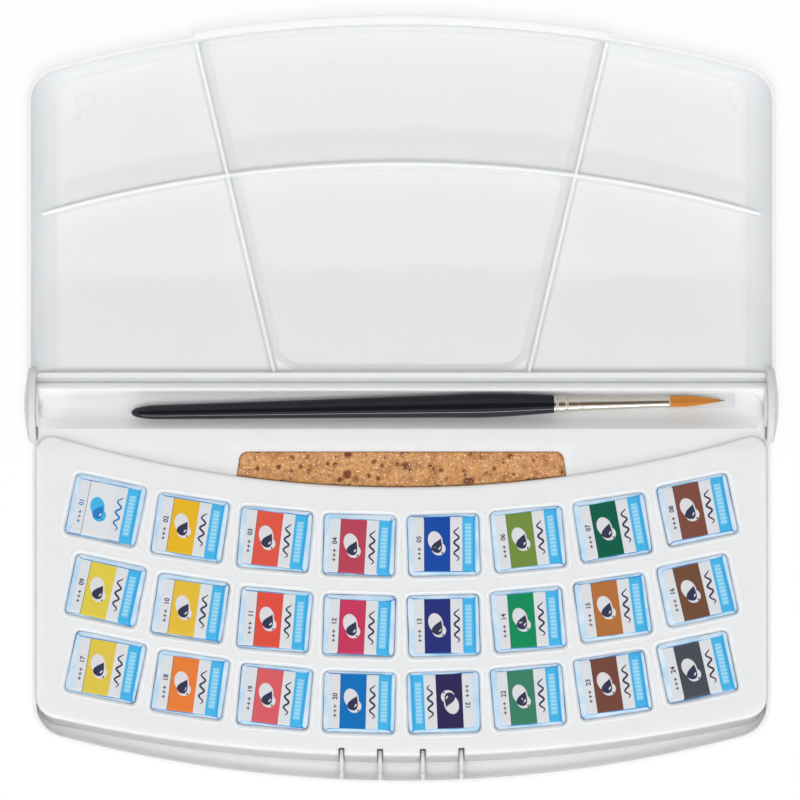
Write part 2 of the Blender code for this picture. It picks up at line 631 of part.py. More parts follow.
def trough_hollow():
    """The trough's inside: one section along its length, drawn in to a point over each end fillet."""
    tangent = trough_tangent()
    above = WELD / math.sin(TROUGH_LIP)
    section = arc((0.0, 0.0), TROUGH_RADIUS, TROUGH_LIP + above / TROUGH_RADIUS, tangent - math.tau,
                  TURN_STEPS // 2)
    section.append((-TROUGH_FRONT + math.sin(tangent) * WELD, -math.cos(tangent) * WELD))
    straight = TROUGH_HALF_LENGTH - TROUGH_END_SKIN - TROUGH_END_FILLET
    stations = []
    for i in range(FILLET_STEPS + 2):
        angle = math.pi / 2 * i / (FILLET_STEPS + 1)
        stations.append((straight + TROUGH_END_FILLET * math.sin(angle), math.cos(angle)))
    ends = [(-x, share) for x, share in reversed(stations)] + stations
    rings = [[(x, y * share, HINGE_HEIGHT + z * share) for y, z in section] for x, share in ends]
    bm = loft(rings)
    bmesh.ops.remove_doubles(bm, verts=bm.verts, dist=MERGE)
    bmesh.ops.recalc_face_normals(bm, faces=bm.faces)
    return bm


def trough_mouth():
    """What is open above the trough, from its curled back to its front edge."""
    far = TROUGH_OUTSIDE + OVERRUN
    lip = (far * math.cos(TROUGH_LIP), HINGE_HEIGHT + far * math.sin(TROUGH_LIP))
    top = HINGE_HEIGHT + far
    profile = [(-TROUGH_FRONT, HINGE_HEIGHT), (0.0, HINGE_HEIGHT), lip, (lip[0], top), (-TROUGH_FRONT, top)]
    return bar(profile, -TROUGH_MOUTH, TROUGH_MOUTH)


def peg_bore():
    """The blind bore in the trough's right end, for the lid's peg."""
    start = EAR_FLOOR - PEG_LENGTH - GAP
    radius = PEG_RADIUS + GAP
    profile = [(start, 0.0), (start, radius), (TROUGH_HALF_LENGTH + OVERRUN, radius),
               (TROUGH_HALF_LENGTH + OVERRUN, 0.0)]
    return moved(turned(profile, TURN_STEPS), Matrix.Translation((0.0, 0.0, HINGE_HEIGHT)))


def latch_rib(place):
    """A thin rib on the inside of the front wall, short at the top and longer below its shoulder."""
    wall = TRAY_REACH - TRAY_WALL - place ** 2 / (2 * TRAY_RADIUS)
    shoulder = RIM_HEIGHT - RIB_SHOULDER
    profile = [(-wall - WELD, TRAY_FLOOR - WELD), (-wall + RIB_LENGTH, TRAY_FLOOR - WELD),
               (-wall + RIB_LENGTH, shoulder), (-wall + RIB_TOP_LENGTH, shoulder),
               (-wall + RIB_TOP_LENGTH, RIM_HEIGHT - RIB_TOP_DROP), (-wall - WELD, RIM_HEIGHT - RIB_TOP_DROP)]
    return bar(profile, place - RIB_WIDTH / 2, place + RIB_WIDTH / 2)


def make_tray(plastic):
    tray = add_object("base_tray", tray_shell(), plastic, (0.0, -TRAY_REACH / 2, 0.0))
    carve(tray, 'DIFFERENCE', "tray_cavity", tray_cavity())
    carve(tray, 'DIFFERENCE', "tray_sponge_pocket", sponge_pocket())
    carve(tray, 'DIFFERENCE', "tray_ledge_hollows", both_sides(ledge_hollow))
    carve(tray, 'UNION', "tray_trough_ledge", trough_ledge())
    carve(tray, 'UNION', "tray_trough_tube", trough_tube())
    carve(tray, 'DIFFERENCE', "tray_trough_hollow", trough_hollow())
    carve(tray, 'DIFFERENCE', "tray_trough_mouth", trough_mouth())
    carve(tray, 'DIFFERENCE', "tray_peg_bores", both_sides(peg_bore))
    ribs = [latch_rib(side * place) for place in RIB_PLACES for side in (-1, 1)]
    carve(tray, 'UNION', "tray_latch_ribs", together(ribs))


def pan_places():
    """Plan place and turn of each pan, row by row from the lid, left to right."""
    places = []
    for reach in ROW_REACHES:
        for column in range(PAN_COLUMNS):
            x = (column - (PAN_COLUMNS - 1) / 2) * PAN_PITCH
            y = -reach + ROW_RADIUS - math.sqrt(ROW_RADIUS ** 2 - x ** 2)
            places.append((x, y, math.asin(x / TILT_RADIUS)))
    return places


def deck_skirt(wall, low, high):
    """The deck's block inside its skirt's outer face, or inside a wall of it."""
    rear = REAR_INSIDE + SLIDE_GAP + wall
    rings = []
    for flare, height in ((DECK_FLARE, low), (0.0, high)):
        front = forward(bowed(DECK_HALF_WIDTH - wall, rear, DECK_REACH + flare - wall,
                              DECK_FRONT_RADIUS - wall, DECK_CORNER - wall))
        rings.append(ring([*front, *rear_arc(SKIRT_EDGE + wall, -rear, -rear, FRONT_STEPS)], height))
    return loft(rings)


def deck_plate():
    corner_x = DECK_HALF_WIDTH - DECK_REAR_CORNER
    middle = DECK_REAR_RADIUS - DECK_REAR
    corner_y = middle - math.sqrt((DECK_REAR_RADIUS + DECK_REAR_CORNER) ** 2 - corner_x ** 2)
    lean = math.atan2(middle - corner_y, -corner_x)
    right = arc((corner_x, corner_y), DECK_REAR_CORNER, lean, 0.0, CORNER_STEPS)
    left = [(-x, y) for x, y in reversed(right)]
    front = forward(bowed(DECK_HALF_WIDTH, -corner_y, DECK_REACH, DECK_FRONT_RADIUS, DECK_CORNER))
    rear = rear_arc(0.0, left[-1][1], right[0][1], FRONT_STEPS)
    outline = [*front[:-1], *left, *rear[1:-1], *right[:-1]]
    rings = [ring(outline, RIM_HEIGHT + GAP)]
    for i in range(POCKET_STEPS + 2):
        angle = math.pi / 2 * i / (POCKET_STEPS + 1)
        edge = inset(outline, DECK_ROLL * (1.0 - math.cos(angle)))
        rings.append(ring(edge, DECK_TOP - DECK_ROLL * (1.0 - math.sin(angle))))
    return loft(rings[1:])


def pocket_cup():
    outline = rounded_box(POCKET_WIDTH + 2 * POCKET_WALL, POCKET_DEPTH + 2 * POCKET_WALL,
                          POCKET_CORNER + POCKET_WALL, POCKET_STEPS)
    return prism(outline, DECK_BOTTOM, DECK_UNDERSIDE + WELD)


def pocket_room():
    """A pocket's inside, with the rounded lip at its mouth."""
    outline = rounded_box(POCKET_WIDTH, POCKET_DEPTH, POCKET_CORNER, POCKET_STEPS)
    rings = [ring(outline, DECK_BOTTOM + POCKET_FLOOR)]
    for i in range(POCKET_STEPS + 1):
        angle = math.pi / 2 * i / POCKET_STEPS
        lip = inset(outline, -POCKET_LIP * (1.0 - math.cos(angle)))
        rings.append(ring(lip, DECK_TOP - POCKET_LIP * (1.0 - math.sin(angle))))
    rings.append(ring(lip, DECK_TOP + OVERRUN))
    return loft(rings)


def at_pans(make):
    return together([moved(make(), Matrix.Translation((x, y, 0.0)) @ Matrix.Rotation(turn, 4, 'Z'))
                     for x, y, turn in pan_places()])


def deck_notch(place):
    """A slot through the front skirt, so that the deck lifts past the tray's rib."""
    front = DECK_REACH - place ** 2 / (2 * DECK_FRONT_RADIUS)
    half = RIB_WIDTH / 2 + GAP
    outer = -front - DECK_FLARE - OVERRUN
    inner = -front + NOTCH_LENGTH
    outline = [(place - half, outer), (place + half, outer), (place + half, inner), (place - half, inner)]
    return prism(outline, DECK_BOTTOM - OVERRUN, DECK_TOP + OVERRUN)


def make_deck(plastic):
    origin = (0.0, -ROW_REACHES[1], DECK_BOTTOM)
    deck = add_object("pan_deck", deck_skirt(0.0, DECK_BOTTOM, DECK_TOP - DECK_ROLL / 2), plastic, origin)
    carve(deck, 'UNION', "deck_plate", deck_plate())
    carve(deck, 'DIFFERENCE', "deck_hollow", deck_skirt(DECK_SKIRT, DECK_BOTTOM - OVERRUN, DECK_UNDERSIDE))
    carve(deck, 'UNION', "deck_pocket_cups", at_pans(pocket_cup))
    carve(deck, 'DIFFERENCE', "deck_pocket_rooms", at_pans(pocket_room))
    notches = [deck_notch(side * place) for place in RIB_PLACES for side in (-1, 1)]
    carve(deck, 'DIFFERENCE', "deck_notches", together(notches))


def half_pan():
    """A small cup filled with paint to just under its rim, standing on the plan's centre."""
    outline = rounded_box(PAN_WIDTH, PAN_DEPTH, PAN_CORNER, 1)
    inside = inset(outline, PAN_WALL)
    high = PAN_LOW + PAN_HEIGHT
    return loft([ring(outline, PAN_LOW), ring(outline, high), ring(inside, high),
                 ring(inside, high - PAINT_DROP)])


def paper_wrapper():
    """Paper folded round the pan, with its ends tucked underneath."""
    outline = rounded_box(WRAPPER_WIDTH, WRAPPER_DEPTH, PAN_CORNER + GAP + PAPER, 1)
    inside = inset(outline, PAPER)
    hem = rounded_box(WRAPPER_WIDTH - 2 * FLAP, WRAPPER_DEPTH - 2 * FLAP, PAN_CORNER, 1)
    top = WRAPPER_HEIGHT
    return loft([ring(inside, top - PAPER), ring(inside, PAPER), ring(hem, PAPER + FLAP_RISE),
                 ring(hem, FLAP_RISE), ring(outline, 0.0), ring(outline, top)])


def make_pans(plastic):
    for number, (x, y, turn) in enumerate(pan_places(), 1):
        name, colour = PAINTS[number - 1]
        label = make_material(f"label_{name}", colour, 0.45)
        pan = add_object(f"pan_{number:02d}", half_pan(), plastic)
        wrapper = add_object(f"wrapper_{number:02d}", paper_wrapper(), label)
        for piece in (pan, wrapper):
            piece.location = (x, y + HINGE_Y, PAN_BOTTOM)
            piece.rotation_euler.z = turn


def make_sponge(cellulose):
    outline = sponge_outline(0.0)
    low = TRAY_FLOOR + GAP
    high = RIM_HEIGHT - SPONGE_DROP
    edge = inset(outline, SPONGE_EDGE)
    bm = loft([ring(edge, low), ring(outline, low + SPONGE_EDGE), ring(outline, high - SPONGE_EDGE),
               ring(edge, high)])
    add_object("sponge", bm, cellulose, (0.0, -SPONGE_BACK, low))


def handle_profile():
    profile = [(share * HANDLE_LENGTH, radius * HANDLE_RADIUS) for share, radius in HANDLE_SHARES]
    tenon = FERRULE_HANDLE_RADIUS - FERRULE_WALL - GAP - CRIMP_DEPTH
    end = HANDLE_LENGTH + TENON_LENGTH
    return [*profile, (HANDLE_LENGTH, tenon), (end, tenon), (end, 0.0)]


def ferrule_radius(share):
    """Outer radius along the ferrule: full over the handle, drawn in behind the crimps, then tapering."""
    if share < FERRULE_NECK_SHARE:
        part = share / FERRULE_NECK_SHARE
        start, end = FERRULE_HANDLE_RADIUS, FERRULE_NECK_RADIUS
        bend = part ** 3
    else:
        bend = (share - FERRULE_NECK_SHARE) / (1.0 - FERRULE_NECK_SHARE)
        start, end = FERRULE_NECK_RADIUS, FERRULE_TIP_RADIUS
    return start + (end - start) * bend


def ferrule_profile():
    start = HANDLE_LENGTH + GAP
    outer = [(start, FERRULE_HANDLE_RADIUS)]
    for share in CRIMP_SHARES:
        middle = start + share * FERRULE_LENGTH
        radius = ferrule_radius(share)
        outer += [(middle - CRIMP_WIDTH / 2, radius), (middle, radius - CRIMP_DEPTH),
                  (middle + CRIMP_WIDTH / 2, radius)]
    for share in (FERRULE_NECK_SHARE, 0.6, 1.0):
        outer.append((start + share * FERRULE_LENGTH, ferrule_radius(share)))
    thick = FERRULE_WALL + CRIMP_DEPTH
    bore = [(start, FERRULE_HANDLE_RADIUS - thick),
            (HANDLE_LENGTH + TENON_LENGTH + GAP, FERRULE_HANDLE_RADIUS - thick),
            (start + FERRULE_NECK_SHARE * FERRULE_LENGTH, FERRULE_NECK_RADIUS - FERRULE_WALL),
            (start + FERRULE_LENGTH, FERRULE_TIP_RADIUS - FERRULE_WALL)]
    return outer, bore


def ferrule():
    outer, bore = ferrule_profile()
    loop = [*outer, *reversed(bore)]
    return turned([*loop, loop[0]], BRUSH_STEPS)


def tuft():
    """Bristles that swell from the ferrule and close to a point, all rising from one thin slice."""
    root = FERRULE_TIP_RADIUS - FERRULE_WALL - GAP
    points = [Vector((0.0, 0.0))]
    for k in range(1, STRAND_RINGS + 1):
        count = round(RING_GROWTH * k)
        for i in range(count):
            angle = math.tau * (i + 0.5 * (k % 2)) / count
            points.append(Vector((math.cos(angle), math.sin(angle))) * root * k / STRAND_RINGS)
    flat, _, triangles, *_ = delaunay_2d_cdt(points, [], [], 0, MERGE)
    bm = bmesh.new()
    corners = [bm.verts.new((0.0, point.x, point.y)) for point in flat]
    feet = [bm.faces.new([corners[i] for i in triangle]) for triangle in triangles]
    for foot in feet:
        if foot.normal.x < 0:
            foot.normal_flip()
    bm.normal_update()
    rim = [edge for edge in bm.edges if edge.is_boundary]
    slice_side = bmesh.ops.extrude_edge_only(bm, edges=rim)["geom"]
    low = [part for part in slice_side if isinstance(part, bmesh.types.BMVert)]
    bmesh.ops.translate(bm, verts=low, vec=(-BRISTLE_SLICE, 0.0, 0.0))
    low_rim = [part for part in slice_side if isinstance(part, bmesh.types.BMEdge)]
    bmesh.ops.contextual_create(bm, geom=[edge for edge in low_rim if edge.is_boundary])
    thin = root / STRAND_RINGS * STRAND_GAP_SHARE
    bmesh.ops.inset_individual(bm, faces=feet, thickness=thin, use_even_offset=True)
    belly = BELLY_SHARE * BRISTLE_LENGTH
    strands = bmesh.ops.extrude_discrete_faces(bm, faces=feet)["faces"]
    swell = BELLY_RADIUS / root
    for strand in strands:
        centre = strand.calc_center_median()
        outward = math.hypot(centre.y, centre.z) / root
        for corner in strand.verts:
            corner.co = (belly + BRISTLE_ROOT, corner.co.y * swell, corner.co.z * swell)
        reach = 1.0 - (1.0 - OUTER_STRAND_SHARE) * outward ** 2
        tip = bmesh.ops.poke(bm, faces=[strand])["verts"][0]
        closing = math.sqrt(max(0.0, 1.0 - reach)) * swell
        tip.co = (BRISTLE_ROOT + reach * BRISTLE_LENGTH, centre.y * closing, centre.z * closing)
    bmesh.ops.recalc_face_normals(bm, faces=bm.faces)
    mouth = HANDLE_LENGTH + GAP + FERRULE_LENGTH - BRISTLE_ROOT
    return moved(bm, Matrix.Translation((mouth, 0.0, 0.0)))


def guard_tube():
    """The clear sleeve over the bristles, open at both ends."""
    mouth = HANDLE_LENGTH + GAP + FERRULE_LENGTH
    start = mouth - GUARD_OVERLAP
    end = mouth + BRISTLE_LENGTH + GUARD_BEYOND
    inside = GUARD_RADIUS - GUARD_WALL
    loop = [(start, inside), (start, GUARD_RADIUS), (end, GUARD_RADIUS), (end, inside)]
    return turned([*loop, loop[0]], BRUSH_STEPS)


def make_brush(lacquer, nickel, hair, clear):
    """The brush lies in the trough on the fullest part of its handle, a little askew."""
    belly = HANDLE_LENGTH * max(HANDLE_SHARES, key=lambda shares: shares[1])[0]
    aside = BRUSH_END_REACH + belly * math.sin(BRUSH_TURN)
    room = TROUGH_RADIUS * math.cos(math.pi / TURN_STEPS) - GAP - HANDLE_RADIUS
    height = HINGE_HEIGHT - math.sqrt(room ** 2 - aside ** 2)
    holder = bpy.data.objects.new("brush", None)
    bpy.context.collection.objects.link(holder)
    holder.location = (-BRUSH_END, HINGE_Y + BRUSH_END_REACH, height)
    holder.rotation_euler.z = BRUSH_TURN
    pieces = (("brush_handle", turned(handle_profile(), BRUSH_STEPS), lacquer),
              ("brush_ferrule", ferrule(), nickel),
              ("brush_bristles", tuft(), hair),
              ("bristle_guard", guard_tube(), clear))
    for name, bm, material in pieces:
        piece = add_object(name, bm, material)
        piece.location = (0.0, 0.0, 0.0)
        piece.parent = holder


def main():
    start_clean()
    tray_white = make_material("tray_plastic", (0.82, 0.84, 0.85), 0.35)
    lid_white = make_material("lid_plastic", (0.83, 0.85, 0.86), 0.32)
    deck_white = make_material("deck_plastic", (0.84, 0.85, 0.86), 0.38)
    pan_white = make_material("pan_plastic", (0.80, 0.80, 0.78), 0.40)
    make_tray(tray_white)
    make_lid(lid_white)
    make_deck(deck_white)
    make_pans(pan_white)
    make_sponge(make_material("sponge_cellulose", (0.58, 0.34, 0.14), 0.90))
    make_brush(make_material("black_lacquer", (0.012, 0.012, 0.018), 0.20),
               make_material("nickel", (0.72, 0.69, 0.63), 0.22, metallic=1.0),
               make_material("golden_hair", (0.72, 0.27, 0.05), 0.50),
               make_material("clear_sleeve", (0.95, 0.96, 0.97), 0.08, alpha=0.25))


main()
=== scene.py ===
import json
import random
from math import acos, asin, atan2, copysign, cos, exp, hypot, inf, pi, radians, sin, sqrt, tau

import bmesh
import bpy
from mathutils import Matrix, Vector, noise


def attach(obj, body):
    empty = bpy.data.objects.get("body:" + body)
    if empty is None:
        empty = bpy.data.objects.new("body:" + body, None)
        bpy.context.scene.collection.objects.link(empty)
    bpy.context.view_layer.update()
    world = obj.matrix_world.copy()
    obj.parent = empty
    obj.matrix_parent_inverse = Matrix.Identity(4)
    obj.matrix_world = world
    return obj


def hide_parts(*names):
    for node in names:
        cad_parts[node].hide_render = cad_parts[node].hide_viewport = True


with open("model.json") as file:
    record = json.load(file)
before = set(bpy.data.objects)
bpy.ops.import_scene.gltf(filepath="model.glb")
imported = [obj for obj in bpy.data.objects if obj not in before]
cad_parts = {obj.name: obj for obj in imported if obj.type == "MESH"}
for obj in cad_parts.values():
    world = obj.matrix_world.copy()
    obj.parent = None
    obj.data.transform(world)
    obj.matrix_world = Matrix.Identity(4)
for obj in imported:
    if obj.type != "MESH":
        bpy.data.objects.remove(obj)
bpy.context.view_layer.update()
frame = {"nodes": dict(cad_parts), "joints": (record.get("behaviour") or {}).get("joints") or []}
print("scene: frame loaded")

# Everything is modelled in millimetres, in the hinge's own plan: x, reach from the hinge axis, height.
# finishPiece brings it to metres and to its place.
hingePin = next(joint for joint in frame["joints"] if joint["name"] == "lid_hinge")["pos_m"]
hinge = {"y": hingePin[1] * 1000, "z": hingePin[2] * 1000}
overlap = 0.5  # how far two forms run into each other before they are joined
past = 4.0  # how far a cutting form runs past what it cuts


def pick(values, names):
    # several values of a dictionary at once
    return [values[name] for name in names.split()]


def quarter(steps):
    # angles of a quarter turn
    return [pi / 2 * i / steps for i in range(steps + 1)]


def traced(start, *moves):
    # an outline from a start over lines to (x, y) and arcs of (centre, angle, steps)
    pen = bmesh.new()
    pen.verts.new((*start, 0))
    for move in moves:
        pen.verts.ensure_lookup_table()
        tip = pen.verts[-1]
        if len(move) == 3:
            centre, angle, steps = move
            bmesh.ops.spin(pen, geom=[tip], cent=(*centre, 0), axis=(0, 0, 1), angle=angle, steps=steps)
        else:
            bmesh.ops.extrude_vert_indiv(pen, verts=[tip])["verts"][0].co = (*move, 0)
    places = [vert.co.copy() for vert in pen.verts]
    pen.free()
    return places


def growSolid(rings):
    # one face pushed from ring to ring, then closed behind
    bm = bmesh.new()
    face = bm.faces.new([bm.verts.new(place) for place in rings[0]])
    for ring in rings[1:]:
        face = bmesh.ops.extrude_discrete_faces(bm, faces=[face])["faces"][0]
        for corner, place in zip(face.verts, ring):
            corner.co = place
    bmesh.ops.holes_fill(bm, edges=[edge for edge in bm.edges if edge.is_boundary], sides=0)
    bmesh.ops.remove_doubles(bm, verts=bm.verts, dist=0.0005)
    bmesh.ops.recalc_face_normals(bm, faces=bm.faces)
    return bm


def flatShape(outline):
    bm = bmesh.new()
    bm.faces.new([bm.verts.new(place) for place in outline])
    return bm


def eased(points, share):
    # a smooth curve through pairs of share and value
    for i in range(len(points) - 1):
        (x0, y0), (x1, y1) = points[i], points[i + 1]
        if share <= x1:
            before = points[max(i - 1, 0)]
            after = points[min(i + 2, len(points) - 1)]
            slope0 = (y1 - before[1]) / max(x1 - before[0], 1e-9) if i else (y1 - y0) / (x1 - x0)
            slope1 = (after[1] - y0) / max(after[0] - x0, 1e-9) if i + 2 < len(points) else (y1 - y0) / (x1 - x0)
            step, t = x1 - x0, (share - x0) / (x1 - x0)
            return (y0 * (2 * t ** 3 - 3 * t ** 2 + 1) + slope0 * step * (t ** 3 - 2 * t ** 2 + t)
                    + y1 * (3 * t ** 2 - 2 * t ** 3) + slope1 * step * (t ** 3 - t ** 2))
    return points[-1][1]


def atHeight(outline, height):
    return [Vector((place.x, place.y, height)) for place in outline]


def shrunk(outline, distance):
    # the outline moved in by a distance
    count = len(outline)
    area = sum(outline[i - 1].x * outline[i].y - outline[i].x * outline[i - 1].y for i in range(count))
    turn = copysign(1.0, area)
    result = []
    for i, here in enumerate(outline):
        before = (here - outline[i - 1]).to_2d().normalized()
        after = (outline[(i + 1) % count] - here).to_2d().normalized()
        first = Vector((-before.y, before.x)) * turn
        second = Vector((-after.y, after.x)) * turn
        step = (first + second) / (1 + first.dot(second))
        result.append(Vector((here.x + step.x * distance, here.y + step.y * distance, here.z)))
    return result


def laid(bm, place, turn=0.0):
    # turns a part about the upright and puts it in its place
    bm.transform(Matrix.Translation(place) @ Matrix.Rotation(turn, 4, 'Z'))
    return bm


def stretched(bm, size, place):
    bm.transform(Matrix.Translation(place) @ Matrix.Diagonal((*size, 1)))
    return bm


def softened(bm, geom, offset, segments, affect='EDGES', clamp=False):
    bmesh.ops.bevel(bm, geom=geom, offset=offset, segments=segments, profile=0.5, affect=affect, material=-1,
                    clamp_overlap=clamp)


def prism(outline, low, high):
    return growSolid([atHeight(outline, low), atHeight(outline, high)])


def bar(profile, half, middle=0.0):
    # a profile of reach and height, drawn out along the hinge to both sides of a place
    return growSolid([[Vector((x, place.x, place.y)) for place in profile] for x in (middle - half, middle + half)])


def rolledEdge(outline, roll, level, side, steps):
    # rings round an edge that close in towards a level, from above it with side 1 or from below with -1
    return [atHeight(shrunk(outline, roll * (1 - cos(turn))), level + side * roll * (1 - sin(turn)))
            for turn in quarter(steps)]


def turned(profile, steps, closed=False, axis=(1, 0, 0)):
    # a profile in x and height, turned about an axis
    bm = bmesh.new()
    points = [bm.verts.new((x, 0, height)) for x, height in profile]
    line = [bm.edges.new(pair) for pair in zip(points, points[1:] + points[:1] if closed else points[1:])]
    bmesh.ops.spin(bm, geom=points + line, axis=axis, angle=tau, steps=steps, use_merge=True)
    bmesh.ops.remove_doubles(bm, verts=bm.verts, dist=0.0005)
    bmesh.ops.recalc_face_normals(bm, faces=bm.faces)
    return bm


def onHinge(bm):
    # lifts a turned part to the hinge axis
    return laid(bm, (0, 0, hinge["z"]))


def joined(parts):
    whole = bmesh.new()
    for part in parts:
        mesh = bpy.data.meshes.new("part")
        part.to_mesh(mesh)
        part.free()
        whole.from_mesh(mesh)
        bpy.data.meshes.remove(mesh)
    return whole


def mirrored(part):
    # the part and its mirror image across the middle
    bmesh.ops.mirror(part, geom=part.verts[:] + part.edges[:] + part.faces[:], axis='X', merge_dist=-1)
    bmesh.ops.recalc_face_normals(part, faces=part.faces)
    return part


def placed(name, data):
    piece = bpy.data.objects.new(name, data)
    bpy.context.scene.collection.objects.link(piece)
    return piece


def toObject(name, bm):
    mesh = bpy.data.meshes.new(name)
    bm.to_mesh(mesh)
    bm.free()
    return placed(name, mesh)


def evaluated(piece):
    bpy.context.view_layer.update()
    return bpy.data.meshes.new_from_object(piece.evaluated_get(bpy.context.evaluated_depsgraph_get()))


def applied(piece):
    # puts the piece's modifiers into its mesh
    baked, old = evaluated(piece), piece.data
    piece.modifiers.clear()
    piece.data = baked
    baked.name = piece.name
    bpy.data.meshes.remove(old)


def carve(piece, operation, bm):
    tool = toObject("tool", bm)
    modifier = piece.modifiers.new("carve", 'BOOLEAN')
    modifier.operation = operation
    modifier.solver = 'EXACT'
    modifier.object = tool
    applied(piece)
    bpy.data.objects.remove(tool)


def roundEdges(piece, low, high, width, reach=inf):
    # rounds the sharp edges that lie between two heights and within a reach
    bm = bmesh.new()
    bm.from_mesh(piece.data)
    bmesh.ops.remove_doubles(bm, verts=bm.verts, dist=0.002)
    bmesh.ops.dissolve_limit(bm, angle_limit=radians(0.5), verts=bm.verts, edges=bm.edges)
    edges = [edge for edge in bm.edges if edge.is_manifold and edge.calc_face_angle() > radians(50)
             and all(low < vert.co.z < high and vert.co.y < reach for vert in edge.verts)]
    softened(bm, edges, width, 3, clamp=True)
    bm.to_mesh(piece.data)
    bm.free()


def markSlopes(mesh):
    # how steep the surface is, from 0 on the level to 1 upright, and 2 on the ears; the plastics paint shade by it
    slope = mesh.attributes.new("slope", 'FLOAT', 'CORNER')
    for face in mesh.polygons:
        ear = abs(face.center.x) * 1000 > earZone["x"] and abs(face.center.y * 1000 - hinge["y"]) < earZone["reach"]
        for i in face.loop_indices:
            slope.data[i].value = 2.0 if ear else 1 - min(abs(face.normal.z), abs(mesh.corner_normals[i].vector.z))


def finishPiece(piece, body, material, nodes=(), sharp=35):
    # to metres and to its place, smooth where it curves, riding with its body
    piece.data.transform(Matrix.Translation((0, hinge["y"] / 1000, 0)) @ Matrix.Scale(0.001, 4))
    piece.data.shade_smooth()
    piece.data.set_sharp_from_angle(angle=radians(sharp))
    if material:
        piece.data.materials.clear()
        piece.data.materials.append(material)
    even = piece.modifiers.new("even", 'WEIGHTED_NORMAL')
    even.keep_sharp = True
    even.weight = 80
    applied(piece)
    if material in (lidPlastic, trayPlastic, deckPlastic):
        markSlopes(piece.data)
    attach(piece, body)
    if nodes:
        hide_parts(*nodes)
    return piece


def plug(socket, value):
    # a socket takes a value or another node's output
    if isinstance(value, bpy.types.NodeSocket):
        socket.id_data.links.new(value, socket)
    else:
        socket.default_value = value


def feed(node, **sockets):
    for name, value in sockets.items():
        plug(node.inputs[name.replace("_", " ")], value)


def addNode(tree, kind, **settings):
    # each setting is one of the node's sockets, or else a choice on the node itself
    node = tree.nodes.new(kind)
    for key, value in settings.items():
        if key.replace("_", " ") in node.inputs.keys():
            feed(node, **{key: value})
        else:
            setattr(node, key, value)
    return node


def newMaterial(name, colour, roughness, **sockets):
    material = bpy.data.materials.new(name)
    material.use_nodes = True
    shader = material.node_tree.nodes["Principled BSDF"]
    feed(shader, Base_Color=(*colour, 1), Roughness=roughness, **sockets)
    return material, material.node_tree, shader


def noiseOf(tree, scale, detail=4.0, stretch=None):
    # noise on the piece's own place, so it stays with it
    place = addNode(tree, "ShaderNodeTexCoord").outputs["Object"]
    if stretch:
        place = addNode(tree, "ShaderNodeMapping", Vector=place, Scale=stretch).outputs["Vector"]
    return addNode(tree, "ShaderNodeTexNoise", Vector=place, Scale=scale, Detail=detail).outputs["Fac"]


def ranged(source, start, end, low=0.0, high=1.0):
    # brings what lies from start to end onto low to high
    return addNode(source.id_data, "ShaderNodeMapRange", Value=source, From_Min=start, From_Max=end,
                   To_Min=low, To_Max=high).outputs["Result"]


def spread(source, low, high):
    return ranged(source, 0.0, 1.0, low, high)


def mixed(mask, first, second):
    # the first where the mask is 0, the second where it is 1
    first, second = ((*tone, 1) if isinstance(tone, tuple) else tone for tone in (first, second))
    return addNode(mask.id_data, "ShaderNodeMix", data_type='RGBA', Factor=mask, A=first, B=second).outputs["Result"]


def reckoned(operation, *values):
    node = addNode(values[0].id_data, "ShaderNodeMath", operation=operation)
    for socket, value in zip(node.inputs, values):
        plug(socket, value)
    return node.outputs["Value"]


def product(first, second):
    return reckoned('MULTIPLY', first, second)


def larger(first, second):
    return reckoned('MAXIMUM', first, second)


def bumped(source, strength, distance):
    return addNode(source.id_data, "ShaderNodeBump", Height=source, Strength=strength,
                   Distance=distance).outputs["Normal"]


def attribute(tree, name):
    return addNode(tree, "ShaderNodeAttribute", attribute_name=name).outputs["Fac"]


# each plastic's slope factor is painted shade, how much darker a slope's colour is painted, and the milky ear factor
# how much darker the ears are painted than that
plastics = {
    "lid": {"tone": (0.892, 0.899, 0.907), "shade": (0.872, 0.883, 0.893), "rough": 0.34, "grain": 0.12, "dim": 0.90,
            "gloss": 0.18},
    "tray": {"tone": (0.905, 0.91, 0.915), "shade": (0.88, 0.89, 0.90), "rough": 0.43, "grain": 0.12, "dim": 0.97,
             "gloss": 0.18},
    "deck": {"tone": (0.92, 0.926, 0.932), "shade": (0.90, 0.908, 0.918), "rough": 0.42, "grain": 0.10, "dim": 0.98,
             "gloss": 0.35}}
milky = {"depth": 0.0025, "thick": 0.86, "cloud": 18.0, "uneven": (-0.05, 0.06)}
earZone = {"x": 105.6, "reach": 11.6}


def mouldedPlastic(name):
    # pale milky plastic: light spreads inside it, with a faint cloudiness, fine grain and slightly uneven gloss;
    # slopes, and the ears more so, are painted darker in colour as painted shade
    tone, shade, rough, grain, dim, gloss = pick(plastics[name], "tone shade rough grain dim gloss")
    material, tree, shader = newMaterial(f"{name}Plastic", tone, rough, Subsurface_Weight=1.0, IOR=1.49,
                                         Subsurface_Scale=milky["depth"], Subsurface_Radius=(1.0, 1.0, 1.0),
                                         Specular_IOR_Level=gloss)
    slope = attribute(tree, "slope")
    look = mixed(noiseOf(tree, milky["cloud"]), tone, shade)
    # painted shade: steeper faces, and the ears most, take a darker colour
    for start, end, share in ((0.008, 0.08, dim), (1.0, 2.0, dim * milky["thick"])):
        look = mixed(ranged(slope, start, end), look, tuple(part * share for part in shade))
    feed(shader, Base_Color=look, Normal=bumped(noiseOf(tree, 1400.0, 2.0), grain, 0.00002),
         Roughness=spread(noiseOf(tree, 160.0, 3.0), *(rough + off for off in milky["uneven"])))
    return material


lidPlastic, trayPlastic, deckPlastic = (mouldedPlastic(name) for name in plastics)
print("scene: plastics mixed")


